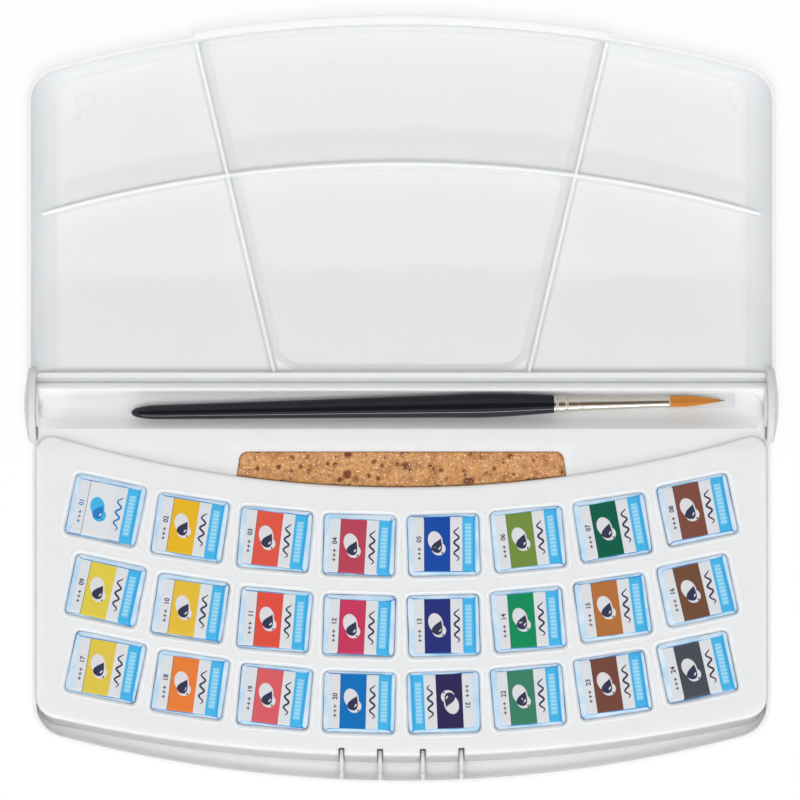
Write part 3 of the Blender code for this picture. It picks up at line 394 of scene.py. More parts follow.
def bowedOutline(halfWidth, rear, reach, bow, corner, front=40, turn=12):
    # straight sides, bowed front and round front corners, from the rear right to the rear left
    cornerX = halfWidth - corner
    middle = reach - bow
    cornerY = middle + sqrt((bow - corner) ** 2 - cornerX ** 2)
    lean = atan2(cornerY - middle, cornerX)
    return traced((halfWidth, rear), (halfWidth, cornerY), ((cornerX, cornerY), lean, turn),
                  ((0, middle), pi - 2 * lean, front), ((-cornerX, cornerY), lean, turn), (-halfWidth, rear))


def insetOutline(shape, inset, rear, further=0.0):
    # a piece's own outline moved in, with its front further out
    halfWidth, reach, bow, corner = pick(shape, "halfWidth reach bow corner")
    return bowedOutline(halfWidth - inset, rear, reach + further - inset, bow - inset, corner - inset)


def forward(outline):
    return [Vector((place.x, -place.y, place.z)) for place in outline]


def bowl(wall, floor, top, bottom, limit, steps=10):
    # down the wall, round a fillet that varies along it, and flat inside the floor
    rings = [atHeight(wall, top)]
    for angle in quarter(steps):
        across, down = 1 - cos(angle), 1 - sin(angle)
        rings.append([Vector((*edge.lerp(flat, across).to_2d(), bottom + min((flat - edge).length, limit) * down))
                      for edge, flat in zip(wall, floor)])
    return growSolid(rings)


lidShape = {
    "halfWidth": 108.5, "reach": 111.5, "wall": 1.2, "corner": 10.5, "edge": 3.5, "bow": 387.0,
    "rim": 13.5, "face": 1.0, "inside": 2.3, "sideFillet": 10.0, "frontFillet": 4.5, "wellCorner": 3.5,
    "outerFillet": 20.0, "wellFillet": 14.7, "upperCorner": 7.0, "lowerCorner": 5.0,
    "rearWall": 9.3, "rearThick": 1.5, "rearDraft": 0.8, "rearTop": 9.0, "rimRound": 0.3,
    "trench": 8.2, "trenchFoot": 3.2, "trenchLip": (4.3, 5.66), "trenchTurn": 24.7,
    "ridgeTop": 1.2, "ridgeFoot": 2.6, "ridgeHeight": 3.2, "ridgeBase": 1.15,
    "crossReach": 70.1, "crossBow": 380.0, "slantRear": 37.0, "slantFront": 61.2,
    "step": 1.0, "slope": 2.8, "rearSlope": 2.6, "frontSlope": 1.5, "lip": 1.4, "spine": 10.5, "spineEnd": 200.0,
    "panelEdge": ((0, 2.4), (0.3, 0.9), (1.0, 0)),
    "moulded": ((-92.0, 88.1, 2.8), (98.2, 89.9, 2.8), (-94.3, 83.8, 0.8), (-20.2, 99.8, 0.6))}
earShape = {"radius": 11.0, "crown": 0.8, "edge": 0.8, "face": 105.8, "recess": 1.0, "recessRadius": 6.7,
            "peg": 2.5, "pegLength": 1.0, "soft": 0.35}


def slantAt(reach):
    # half distance between the slanted ridges
    share = (reach - lidShape["rearWall"]) / (lidShape["reach"] - lidShape["rearWall"])
    return lidShape["slantRear"] + (lidShape["slantFront"] - lidShape["slantRear"]) * share


def middlePanel(spreadOut, rear, reach, corner=0.0):
    # the panel between the slanted ridges, its front bowed like the lid's
    bow = lidShape["bow"] - (lidShape["reach"] - reach)
    middle = reach - bow
    front = reach
    for _ in range(6):
        front = middle + sqrt(bow ** 2 - (slantAt(front) + spreadOut) ** 2)
    near, far = slantAt(rear) + spreadOut, slantAt(front) + spreadOut
    lean = atan2(front - middle, far)
    outline = traced((near, rear), (far, front), ((0, middle), pi - 2 * lean, 36), (-near, rear))
    if corner:
        bm = flatShape(outline)
        ends = [vert for vert in bm.verts if vert.co.y < rear + 0.01]
        softened(bm, ends, corner, 6, 'VERTICES')
        bm.faces.ensure_lookup_table()
        outline = [vert.co.copy() for vert in bm.faces[0].verts]
        bm.free()
    return outline


def ridgeRings(outlineAt):
    # a low rib: wide foot, small fillets, narrow rounded top
    inside, foot, half = lidShape["inside"], lidShape["ridgeFoot"] / 2, lidShape["ridgeTop"] / 2
    top = inside + lidShape["ridgeHeight"]
    steps = [(foot, lidShape["ridgeBase"]), (foot, inside + 0.02), (half + 0.32, inside + 0.22),
             (half + 0.14, inside + 0.7), (half, top - 0.45), (half * 0.85, top - 0.15), (half * 0.5, top)]
    return [atHeight(outlineAt(width), height) for width, height in steps]


def slantOutline(half):
    rearWall, rearThick, reach, wall, bow = pick(lidShape, "rearWall rearThick reach wall bow")
    rear = rearWall - rearThick / 2
    front = reach - wall - slantAt(reach) ** 2 / (2 * bow) + overlap
    return [Vector((slantAt(y) + side * half, y, 0)) for y, side in ((rear, -1), (rear, 1), (front, 1), (front, -1))]


def crossOutline(half):
    reach, bow, halfWidth, edge = pick(lidShape, "crossReach crossBow halfWidth edge")
    middle, end = reach - bow, halfWidth - edge + overlap
    outer, inner = bow + half, bow - half
    far, near = acos(end / outer), acos(end / inner)
    return traced((end, middle + outer * sin(far)), ((0, middle), pi - 2 * far, 48),
                  (-end, middle + inner * sin(near)), ((0, middle), 2 * near - pi, 48))


def spineProfile():
    spine, rearWall, face, inside = pick(lidShape, "spine rearWall face inside")
    middle, start, end = hinge["z"], radians(lidShape["spineEnd"]), 1.5 * pi
    return traced((spine * cos(start), middle + spine * sin(start)), ((0, middle), end - start, 20),
                  (rearWall, face), (rearWall, inside), (0, inside), ((0, middle), start - end, 20))


def mouldMark(x, reach, radius):
    # a faint raised ring, left in the floor by the mould
    floor = lidShape["inside"] - (lidShape["step"] if abs(x) < slantAt(reach) else 0)
    profile = [(radius + off, floor + rise) for off, rise in ((0.2, -0.3), (0.2, 0.06), (0.08, 0.14), (-0.08, 0.14),
                                                              (-0.2, 0.06), (-0.2, -0.3))]
    return laid(turned(profile, 40, True, (0, 0, 1)), (x, reach, 0))


def makeEar():
    radius, crown, edge, face, soft = pick(earShape, "radius crown edge face soft")
    recess, hollow, peg, pegLength = pick(earShape, "recess recessRadius peg pegLength")
    rise, floor = crown + edge, face + recess
    dome, end = (radius ** 2 + rise ** 2) / (2 * rise), floor - pegLength
    outside = [(lidShape["halfWidth"] + crown - (dome - sqrt(dome ** 2 - away ** 2)), away)
               for away in (radius * cos(angle) for angle in quarter(12))]
    rimX = outside[0][0]
    return onHinge(turned([
        (end, 0), (end, peg - 0.2), (end + 0.2, peg), (floor, peg), (floor, hollow), (face + 0.15, hollow),
        (face, hollow + 0.15), (face, radius - soft), (face + soft * 0.3, radius - soft * 0.3), (face + soft, radius),
        (rimX - soft, radius), (rimX - soft * 0.3, radius - soft * 0.25), (rimX + 0.05, radius - soft),
        *outside[1:]], 72))


def makeLid():
    shape, middle = lidShape, hinge["z"]
    reach, wall, edge, rim, inside, step = pick(shape, "reach wall edge rim inside step")
    rearWall, rearTop, trench, half = *pick(shape, "rearWall rearTop trench"), shape["ridgeTop"] / 2
    lid = toObject("lidShell", bowl(insetOutline(shape, 0, 0), insetOutline(shape, edge, 0), rim, shape["face"],
                                    shape["outerFillet"]))
    panel = middlePanel(overlap, rearWall, reach + shape["lip"])
    carve(lid, 'UNION', growSolid([atHeight(panel, rim), *[atHeight(shrunk(panel, inset), height)
                                                           for inset, height in shape["panelEdge"]]]))
    carve(lid, 'UNION', bar(spineProfile(), earShape["face"] + overlap))

    front = wall + shape["frontFillet"]
    floor = bowedOutline(shape["halfWidth"] - wall - shape["sideFillet"], rearWall + shape["rearDraft"],
                         reach - front, shape["bow"] - front, shape["wellCorner"])
    carve(lid, 'DIFFERENCE', bowl(insetOutline(shape, wall, rearWall), floor, rim + past, inside,
                                  shape["wellFillet"]))

    behind = rearWall - shape["rearThick"]
    carve(lid, 'DIFFERENCE', bar(traced(
        (-overlap, inside), (shape["trenchFoot"], inside), shape["trenchLip"],
        ((0, middle), radians(shape["trenchTurn"]), 8), (behind - 0.2, trench), (behind, trench + 0.2),
        (behind, rearTop), (rearWall + overlap, rearTop), (rearWall + overlap, rim + past), (-overlap, rim + past)),
        shape["halfWidth"] - wall))

    upper = middlePanel(-half, rearWall + shape["rearDraft"], reach - wall, shape["upperCorner"])
    lower = middlePanel(-half - shape["slope"], rearWall + shape["rearSlope"], reach - wall - shape["frontSlope"],
                        shape["lowerCorner"])
    carve(lid, 'DIFFERENCE', growSolid([atHeight(upper, inside + shape["ridgeHeight"]), atHeight(upper, inside),
                                        atHeight(lower, inside - step)]))
    carve(lid, 'UNION', growSolid(ridgeRings(crossOutline)))
    carve(lid, 'UNION', joined([mouldMark(*place) for place in shape["moulded"]]))
    for side in (1, -1):
        for part in (growSolid(ridgeRings(slantOutline)), makeEar()):
            if side < 0:
                bmesh.ops.scale(part, vec=(-1, 1, 1), verts=part.verts)
                bmesh.ops.reverse_faces(part, faces=part.faces)
            carve(lid, 'UNION', part)
    roundEdges(lid, rim - 0.05, rim + 0.05, shape["rimRound"])
    roundEdges(lid, rearTop - 0.05, rearTop + 0.05, shape["rimRound"], 10)
    return finishPiece(lid, "lid", lidPlastic, ["lid"], 15)


makeLid()
print("scene: lid moulded")


trayShape = {
    "halfWidth": 107.0, "reach": 110.0, "bow": 385.5, "corner": 10.5, "rear": 11.3, "wall": 1.2, "floor": 1.2,
    "edge": 2.0, "fillet": 20.0, "rim": 11.5, "rimRound": 0.3, "lipRound": 0.25, "ledge": 1.2, "ledgeHalf": 105.5,
    "trough": 5.4, "troughWall": 1.0, "troughFront": 7.0, "lip": 43.0, "troughHalf": 106.5,
    "endFillet": 10.7, "endWall": 1.5, "endSkin": 1.7, "bore": 2.8, "boreDepth": 1.3,
    "ribPlaces": (6.2, 17.4), "ribWidth": 1.1, "ribLength": 8.4, "ribTop": 1.9, "ribDrop": 0.6, "ribShoulder": 2.6}
deckEdge = {"rear": 23.8, "bow": 352.06, "overhang": 1.0}
spongeShape = {"half": 46.8, "back": 13.8, "splay": 0.6, "corner": 2.2, "low": 1.5, "high": 11.2, "soft": 0.45,
               "gap": 0.3}
deckMiddle = deckEdge["bow"] - deckEdge["rear"]
troughTangent = pi + acos(trayShape["trough"] / trayShape["troughFront"])


def rearEdge(edge, low, steps=48):
    # the deck's concave rear edge, moved forward by edge, from left to right between two points at y = low
    bow = deckEdge["bow"] + edge
    half = acos((deckMiddle - low) / bow)
    return traced((-bow * sin(half), deckMiddle - bow * cos(half)), ((0, deckMiddle), 2 * half, steps))


def spongeOutline(spare, steps):
    half, corner, splay, gap = pick(spongeShape, "half corner splay gap")
    back, bow = -spongeShape["back"], deckEdge["bow"] - gap
    lean = asin((half + splay) / bow)
    return shrunk(traced(
        (-bow * sin(lean), deckMiddle - bow * cos(lean)), ((0, deckMiddle), 2 * lean, steps),
        (half, back - corner), ((half - corner, back - corner), pi / 2, 6),
        (corner - half, back), ((corner - half, back - corner), pi / 2, 6)), -spare)


def troughLedge():
    # the ledge from the tray to the trough, and the trough's sloping front wall
    trough, rear, rim, middle = *pick(trayShape, "trough rear rim"), hinge["z"]
    outside, below, back = trough + trayShape["troughWall"], rim - trayShape["ledge"], -rear - overlap
    across, up = cos(troughTangent), sin(troughTangent)
    run = (below - middle - outside * up) / -across
    return bar(traced(
        (back, rim), (back, below), (outside * across + up * run, below), (outside * across, middle + outside * up),
        (trough * across + overlap, middle + trough * up + overlap), (1.0 - trayShape["troughFront"], rim)),
        trayShape["ledgeHalf"])


def troughHollow():
    # one section along the trough, rising over each end fillet
    trough, half, skin, fillet = pick(trayShape, "trough troughHalf endSkin endFillet")
    start = radians(trayShape["lip"]) + 0.13
    section = traced((trough * cos(start), trough * sin(start)),
                     ((0, 0), troughTangent - tau - start, 40),
                     (sin(troughTangent) * overlap - trayShape["troughFront"],
                      -cos(troughTangent) * overlap))
    ends = [(half - skin - fillet + fillet * sin(angle), max(cos(angle), 0.02)) for angle in quarter(12)]
    return growSolid([[Vector((x, place.x, hinge["z"] + place.y * share)) for place in section]
                      for x, share in [(-x, share) for x, share in reversed(ends)] + ends])


def troughMouth():
    trough, wall, front, half = pick(trayShape, "trough troughWall troughFront troughHalf")
    far, lip, middle = trough + wall + past, radians(trayShape["lip"]), hinge["z"]
    return bar(traced((-front, middle), (0, middle), (far * cos(lip), middle + far * sin(lip)),
                      (far * cos(lip), middle + far), (-front, middle + far)), half - trayShape["endWall"])


def latchRib(place):
    # short at the top, longer below its shoulder
    length, top, drop, rim = pick(trayShape, "ribLength ribTop ribDrop rim")
    wall = trayShape["reach"] - trayShape["wall"] - place ** 2 / (2 * trayShape["bow"])
    shoulder, foot, high = rim - trayShape["ribShoulder"], trayShape["floor"] - overlap, rim - drop
    return bar(traced((-wall - overlap, foot), (length - wall, foot), (length - wall, shoulder), (top - wall, shoulder),
                      (top - wall, high - 0.3), (top - wall - 0.3, high), (-wall - overlap, high)),
               trayShape["ribWidth"] / 2, place)


def bothSides(make, places):
    return joined([make(side * place) for place in places for side in (-1, 1)])


def makeTray():
    shape, gap = trayShape, spongeShape["gap"]
    edge, wall, floor, rim, rear, half = pick(shape, "edge wall floor rim rear troughHalf")
    back, overhang = rear + wall, deckEdge["overhang"]
    outside, base = (forward(insetOutline(shape, inset, rear)) for inset in (0, edge))
    tray = toObject("trayShell", bowl(outside, base, rim, 0, shape["fillet"], 6))
    walls = forward(insetOutline(shape, wall, back))
    carve(tray, 'DIFFERENCE', prism([*walls, *rearEdge(overhang, -back)], floor, rim + past))

    arc = 24
    pocket = spongeOutline(gap, arc)
    sides, front = [*pocket[arc:], pocket[0]], -deckEdge["rear"] - overhang - past
    mouth = [Vector((place.x, front, 0)) for place in (sides[-1], sides[0])]
    carve(tray, 'DIFFERENCE', prism([*mouth, *sides], floor, rim + past))

    start = spongeShape["half"] + spongeShape["splay"] + gap + wall
    hollow = [place for place in rearEdge(overhang - wall, -back - wall, 60) if place.x > start]
    hollow += [Vector((hollow[-1].x, -back, 0)), Vector((start, -back, 0)), Vector((start, hollow[0].y, 0))]
    carve(tray, 'DIFFERENCE', mirrored(prism(hollow, -past, rim - shape["ledge"])))

    carve(tray, 'UNION', troughLedge())
    outer, bore, near = shape["trough"] + shape["troughWall"], shape["bore"], half - shape["boreDepth"]
    carve(tray, 'UNION', onHinge(turned([(-half, 0), (-half, outer - 0.25), (0.25 - half, outer),
                                         (half - 0.25, outer), (half, outer - 0.25), (half, 0)], 95)))
    carve(tray, 'DIFFERENCE', troughHollow())
    carve(tray, 'DIFFERENCE', troughMouth())
    carve(tray, 'DIFFERENCE', mirrored(onHinge(turned(
        [(near, 0), (near, bore), (half + past, bore), (half + past, 0)], 40))))
    carve(tray, 'UNION', bothSides(latchRib, shape["ribPlaces"]))
    roundEdges(tray, rim - 0.03, rim + 0.03, shape["rimRound"])
    roundEdges(tray, rim + 0.5, inf, shape["lipRound"])
    return finishPiece(tray, "tray", trayPlastic, ["base_tray"])


makeTray()
print("scene: tray moulded")


panGrid = {"columns": 8, "pitch": 24.5, "rows": (40.8, 64.1, 86.4), "bow": 360.06, "tilt": 415.16}
# room and mouth are steps up a pocket: how far each stands off its sides, and its height from its floor or its top
deckShape = {
    "halfWidth": 105.4, "plateHalf": 106.0, "bottom": 1.5, "top": 12.7, "rimGap": 0.3, "reach": 101.7, "bow": 463.99,
    "corner": 6.0, "rearCorner": 4.5, "roll": 0.9, "plate": 1.2, "skirt": 1.0, "flare": 2.4, "slide": 0.4,
    "pocketWidth": 21.0, "pocketDepth": 17.8, "pocketCorner": 1.5, "pocketWall": 0.8, "pocketFloor": 0.8,
    "bead": 0.22, "beadWidth": 1.2, "slot": 2.0, "slotSpare": 0.3, "room": ((-0.7, 0), (-0.2, 0.2), (0, 0.7)),
    "mouth": ((0, -4.0), (-0.12, -3.0), (-0.12, -1.7), (-0.04, -1.25), (0.06, -1.0), (0.22, -0.66), (0.46, -0.36),
              (0.68, -0.12), (0.86, -0.02), (1.0, 0.01), (1.05, past))}


def panPlaces():
    # place and turn of each pan, row by row from the lid, left to right
    places = []
    for reach in panGrid["rows"]:
        for column in range(panGrid["columns"]):
            x = (column - (panGrid["columns"] - 1) / 2) * panGrid["pitch"]
            y = panGrid["bow"] - reach - sqrt(panGrid["bow"] ** 2 - x ** 2)
            places.append((x, y, asin(x / panGrid["tilt"])))
    return places


def roundedBox(width, depth, corner):
    across, along, turn = width / 2, depth / 2, (pi / 2, 5)
    x, y = across - corner, along - corner
    return traced((across, -y), (across, y), ((x, y), *turn), (-x, along), ((-x, y), *turn),
                  (-across, -y), ((-x, -y), *turn), (x, -along), ((x, -y), *turn))[:-1]


def deckBlock(wall, low, high):
    rear = trayShape["rear"] + trayShape["wall"] + deckShape["slide"] + wall
    arc = rearEdge(deckEdge["overhang"] + deckShape["slide"] + wall, -rear)
    return growSolid([atHeight([*forward(insetOutline(deckShape, wall, rear, flare)), *arc], height)
                      for flare, height in ((deckShape["flare"], low), (0, high))])


def deckPlate():
    half, rearCorner, reach, bow, corner = pick(deckShape, "plateHalf rearCorner reach bow corner")
    x = half - rearCorner
    y = deckMiddle - sqrt((deckEdge["bow"] + rearCorner) ** 2 - x ** 2)
    lean = atan2(deckMiddle - y, -x)
    front = forward(bowedOutline(half, -y, reach, bow, corner))
    rear = traced(front[-1].to_2d(), ((-x, y), -lean, 10), ((0, deckMiddle), 2 * lean - pi, 60),
                  ((x, y), -lean, 10))
    outline = [*front[1:-1], *rear[:-1]]
    outline = [place for i, place in enumerate(outline) if (place - outline[i - 1]).length > 0.01]
    return growSolid([atHeight(outline, trayShape["rim"] + deckShape["rimGap"]),
                      *rolledEdge(outline, deckShape["roll"], deckShape["top"], -1, 7)[1:]])


def pocketSolid(steps):
    # outlines that stand off the pocket's inside by a distance, each at its height
    width, depth, corner = pick(deckShape, "pocketWidth pocketDepth pocketCorner")
    return growSolid([atHeight(roundedBox(width + 2 * off, depth + 2 * off, corner + off), height)
                      for off, height in steps])


def pocketCup():
    wall, outer, top, bead, bottom = pick(deckShape, "pocketWall beadWidth top bead bottom")
    return pocketSolid([(wall * 0.55, bottom), (wall, bottom + 0.5), (wall, top - 0.7), (outer + 0.28, top - 0.35),
                        (outer + 0.28, top - 0.02), (outer + 0.08, top + 0.03), (outer - 0.04, top + bead * 0.75),
                        (outer - 0.2, top + bead)])


def pocketRoom():
    floor, top = deckShape["bottom"] + deckShape["pocketFloor"], deckShape["top"] + deckShape["bead"]
    return pocketSolid([(off, floor + rise) for off, rise in deckShape["room"]]
                       + [(off, top + rise) for off, rise in deckShape["mouth"]])


def atPans(make):
    return joined([laid(make(), (x, y, 0), turn) for x, y, turn in panPlaces()])


def deckSlot(place):
    reach, bow, flare, slot, bottom, top = pick(deckShape, "reach bow flare slot bottom top")
    front = place ** 2 / (2 * bow) - reach
    half = trayShape["ribWidth"] / 2 + deckShape["slotSpare"]
    outer, inner = front - flare - past, front + slot
    corners = [Vector((place + side * half, y, 0)) for side, y in ((-1, outer), (1, outer), (1, inner), (-1, inner))]
    return prism(corners, bottom - past, top + past)


def makeDeck():
    bottom, top, skirt, plate = pick(deckShape, "bottom top skirt plate")
    deck = toObject("panTray", deckBlock(0, bottom, top - 0.45))
    carve(deck, 'UNION', deckPlate())
    carve(deck, 'DIFFERENCE', deckBlock(skirt, bottom - past, top - plate))
    carve(deck, 'UNION', atPans(pocketCup))
    carve(deck, 'DIFFERENCE', atPans(pocketRoom))
    carve(deck, 'DIFFERENCE', bothSides(deckSlot, trayShape["ribPlaces"]))
    return finishPiece(deck, "deck", deckPlastic, ["pan_deck"])


makeDeck()
print("scene: deck moulded")


panLook = {"plastic": (0.80, 0.80, 0.78), "shade": (0.74, 0.745, 0.73), "rough": 0.4}


def makePanPlastic():
    # the little cups stay as they come from the frame, with a finer material
    material, tree, shader = newMaterial("panPlastic", panLook["plastic"], panLook["rough"])
    feed(shader, Base_Color=mixed(noiseOf(tree, 90.0), panLook["plastic"], panLook["shade"]),
         Normal=bumped(noiseOf(tree, 700.0, 3.0), 0.2, 0.00003))
    for node, piece in frame["nodes"].items():
        if node.startswith("pan_") and node != "pan_deck":
            for slot in piece.material_slots:
                slot.material = material


wrapperShape = {
    "width": 19.6, "depth": 16.9, "height": 10.0, "bottom": 2.6, "corner": 1.5, "topEdge": 0.55, "paper": 0.22,
    "flap": 3.0, "crease": 0.06, "sag": 0.09, "endwise": 1.32, "slice": 1.25, "turnedRound": 21, "sheet": 48.0,
    "levels": (1.0, 2.0, 3.5, 5.0, 6.5, 7.8, 8.5, 8.9, 9.2),
    "bulge": ((0.0, 0.0), (2.0, 0.15), (5.0, 0.28), (7.5, 0.36), (8.8, 0.44), (9.2, 0.36), (9.6, 0.0), (10.0, -0.42))}
labelInk = {"white": (0.665, 0.68, 0.70), "sky": (0.055, 0.42, 0.74), "deep": (0.005, 0.16, 0.50),
            "dark": (0.018, 0.018, 0.06), "blob": (0.665, 0.66, 0.68), "bars": (0.40, 0.70, 0.86),
            "side": (0.66, 0.76, 0.86), "sideBlue": (0.25, 0.55, 0.80)}
labelPlan = {"left": -9.2, "line": -5.95, "colourEnd": 2.05, "bandStart": 5.75, "top": 8.2, "bottom": -8.35,
             "crease": 9.25, "boxLeft": 6.6, "boxRight": 8.5, "boxStart": -6.2, "boxEnd": 6.2, "barPitch": 1.15,
             "shift": 0.5, "slide": 0.55, "turn": 0.035,
             "number": 2.05, "numberPlace": (-7.5, 1.4), "pluses": (-1.6, -3.0, -4.4), "plus": 1.0, "plusStroke": 0.26,
             "blobs": (((-2.55, 0.9), (2.2, 3.0), 0.3), ((-1.5, -1.5), (2.1, 2.0), 0.0)),
             "spots": ((-0.35, -2.75, 0.28), (-3.1, -1.9, 0.2)), "glint": (0.55, -0.85, 0.24, 0.6, -0.6),
             "film": (0.05, 0.07), "drop": (-1.75, -0.45), "dropWidth": 2.3, "dropLength": 2.35, "dropTurn": -0.42,
             "wave": 3.95, "waveLength": 10.4, "waveSwing": 0.72, "waveTurns": 3.25, "waveStroke": 0.62}
labelColours = [
    (0.689, 0.71, 0.725), (0.732, 0.425, 0.016), (0.682, 0.086, 0.055), (0.452, 0.051, 0.09),
    (0.005, 0.061, 0.341), (0.156, 0.251, 0.044), (0.002, 0.101, 0.058), (0.193, 0.065, 0.047),
    (0.675, 0.545, 0.061), (0.717, 0.463, 0.04), (0.689, 0.072, 0.047), (0.527, 0.035, 0.101),
    (0.016, 0.026, 0.174), (0.003, 0.24, 0.092), (0.425, 0.15, 0.037), (0.153, 0.068, 0.036),
    (0.682, 0.515, 0.066), (0.747, 0.19, 0.035), (0.641, 0.101, 0.118), (0.001, 0.147, 0.458),
    (0.025, 0.018, 0.084), (0.04, 0.2, 0.123), (0.162, 0.058, 0.039), (0.058, 0.066, 0.084)]
labelChance = random.Random(7)
labelOffsets = [(labelChance.uniform(-0.5, 0.5) * labelPlan["shift"], labelChance.uniform(-1, 1) * labelPlan["slide"],
                 labelChance.uniform(-1, 1) * labelPlan["turn"]) for _ in labelColours]


def unfolded(place, shape):
    # the sheet laid flat: over an edge it runs on outwards
    across, along = shape["width"] / 2, shape["depth"] / 2
    down = max(0.0, shape["height"] - place.z)
    x = max(-across, min(across, place.x))
    y = max(-along, min(along, place.y))
    if abs(place.x) / across > abs(place.y) / along:
        x += copysign(down, place.x)
    else:
        y += copysign(down, place.y)
    return x, y


def paperRelief(place, shape, seed):
    # how far the paper stands off the plain box: it sags between its edges and is a little creased
    across, along = place.x / shape["width"] * 2, place.y / shape["depth"] * 2
    cloud = noise.noise(Vector((place.x * 0.16, place.y * 0.16, place.z * 0.2 + seed * 7.3)))
    fold = noise.noise(Vector((place.x * 0.5 + seed * 3.1, place.y * 0.09, place.z * 0.3)))
    bend = noise.noise(Vector((place.x * 0.08, place.y * 0.55 + seed * 5.7, place.z * 0.2)))
    open_ = max(0.0, (1 - abs(across) ** 4) * (1 - abs(along) ** 4))
    return cloud * shape["sag"] * 1.4 + (fold + bend) * shape["crease"] - open_ * shape["sag"] * 0.5


def settled(place, seed):
    # where a point of the plain box ends up: sides bulge, the top is a little smaller, the paper waves
    width, depth, height, endwise = pick(wrapperShape, "width depth height endwise")
    out = 2 * eased(wrapperShape["bulge"], max(0.0, min(height, place.z)))
    result = Vector((place.x * (1 + out * endwise / width), place.y * (1 + out / depth), place.z))
    return result, paperRelief(place, wrapperShape, seed) - 0.05


def wrapperMesh(seed):
    shape = wrapperShape
    width, depth, height, sheet = pick(shape, "width depth height sheet")
    bm = bmesh.new()
    bmesh.ops.create_cube(bm, size=1.0)
    stretched(bm, (width, depth, height), (0, 0, height / 2))
    upright = [edge for edge in bm.edges if abs(edge.verts[0].co.z - edge.verts[1].co.z) > 1]
    softened(bm, upright, shape["corner"], 4)
    top = [edge for edge in bm.edges if all(vert.co.z > height - 0.01 for vert in edge.verts)
           and any(abs(face.normal.z) < 0.5 for face in edge.link_faces)]
    softened(bm, top, shape["topEdge"], 3)
    base = [face for face in bm.faces if face.normal.z < -0.9]
    bmesh.ops.inset_region(bm, faces=base, thickness=shape["flap"])
    bmesh.ops.delete(bm, geom=base, context='FACES_ONLY')
    count = int(width / shape["slice"])
    cuts = [((size * (i / count - 0.5) * (1 - axis), size * (i / count - 0.5) * axis, 0), (1 - axis, axis, 0))
            for i in range(1, count) for axis, size in enumerate((width, depth))]
    for place, normal in cuts + [((0, 0, level), (0, 0, 1)) for level in shape["levels"]]:
        bmesh.ops.bisect_plane(bm, geom=bm.verts[:] + bm.edges[:] + bm.faces[:], dist=0.0001,
                               plane_co=place, plane_no=normal)
    bmesh.ops.remove_doubles(bm, verts=bm.verts, dist=0.002)
    layer = bm.loops.layers.uv.new("sheet")
    for face in bm.faces:
        for loop in face.loops:
            loop[layer].uv = [0.5 + part / sheet for part in unfolded(loop.vert.co, shape)]
    bm.normal_update()
    for vert, normal in [(vert, vert.normal.copy()) for vert in bm.verts]:
        place, lift = settled(vert.co, seed)
        vert.co = place + normal * lift
    bmesh.ops.solidify(bm, geom=bm.faces[:], thickness=shape["paper"])
    return bm


def onPaper(bm, seed, thick):
    # settles flat marks on the paper's top as a thin film of ink
    bmesh.ops.subdivide_edges(bm, edges=[edge for edge in bm.edges if edge.calc_length() > 1.2], cuts=2)
    for vert in bm.verts:
        place, lift = settled(Vector((vert.co.x, vert.co.y, wrapperShape["height"])), seed)
        vert.co = place + Vector((0, 0, lift - 0.02))
    bmesh.ops.recalc_face_normals(bm, faces=bm.faces)
    for face in bm.faces:
        if face.normal.z < 0:
            face.normal_flip()
    grown = bmesh.ops.extrude_face_region(bm, geom=bm.faces[:])["geom"]
    bmesh.ops.translate(bm, vec=(0, 0, thick), verts=[part for part in grown if isinstance(part, bmesh.types.BMVert)])
    bmesh.ops.recalc_face_normals(bm, faces=bm.faces)


def numberMarks(text, size, place):
    # plain figures, a little bolder than the font
    curve = bpy.data.curves.new("figures", 'FONT')
    curve.body, curve.size, curve.offset, curve.resolution_u = text, size, 0.05, 4
    curve.align_x, curve.align_y = 'CENTER', 'CENTER'
    holder = placed("figures", curve)
    mesh = evaluated(holder)
    bm = bmesh.new()
    bm.from_mesh(mesh)
    bpy.data.objects.remove(holder)
    bpy.data.curves.remove(curve)
    bpy.data.meshes.remove(mesh)
    bmesh.ops.remove_doubles(bm, verts=bm.verts, dist=0.001)
    return laid(bm, (*place, 0), pi / 2)


def plusMark(x, y, size, stroke):
    # one outline, so the strokes do not overlap
    near, far = stroke / 2, size / 2
    return flatShape(traced(*[(x + across, y + along) for across, along in (
        (far, -near), (far, near), (near, near), (near, far), (-near, far), (-near, near), (-far, near),
        (-far, -near), (-near, -near), (-near, -far), (near, -far), (near, -near))]))


def dropMark(plan, steps=30):
    # a drop of water with a round base and a fine tip
    width, length = plan["dropWidth"], plan["dropLength"]
    bm = flatShape(traced((0, length), *[
        (width * sin(angle) * sin(angle / 2) ** 1.5, length * cos(angle))
        for angle in (tau * i / steps for i in range(1, steps))]))
    return laid(bm, (*plan["drop"], 0), plan["dropTurn"])


def spot(x, y, across, along, turn=0.0):
    bm = bmesh.new()
    bmesh.ops.create_circle(bm, cap_ends=True, segments=18, radius=1.0)
    return laid(stretched(bm, (across, along, 1), (0, 0, 0)), (x, y, 0), turn)


def waveMark(plan, steps=72):
    # a wavy brush stroke along the label, thin at its ends
    wave, length, swing, turns, stroke = pick(plan, "wave waveLength waveSwing waveTurns waveStroke")
    bm = bmesh.new()
    for side in (-1, 1):
        rail = []
        for share in (i / steps for i in range(steps + 1)):
            phase = tau * turns * share
            slope = swing * cos(phase) * tau * turns / length
            half = side * stroke / 2 * (0.25 + 0.75 * sin(pi * share) ** 0.5) / hypot(1, slope)
            rail.append(bm.verts.new((wave + swing * sin(phase) + half,
                                      length * (share - 0.5) - half * slope, 0)))
        for pair in zip(rail, rail[1:]):
            bm.edges.new(pair)
    bmesh.ops.bridge_loops(bm, edges=bm.edges[:])
    return bm


def band(value, low, high, soft=0.03):
    # 1 between two values, 0 outside
    return product(ranged(value, low - soft, low + soft), ranged(value, high + soft, high - soft))


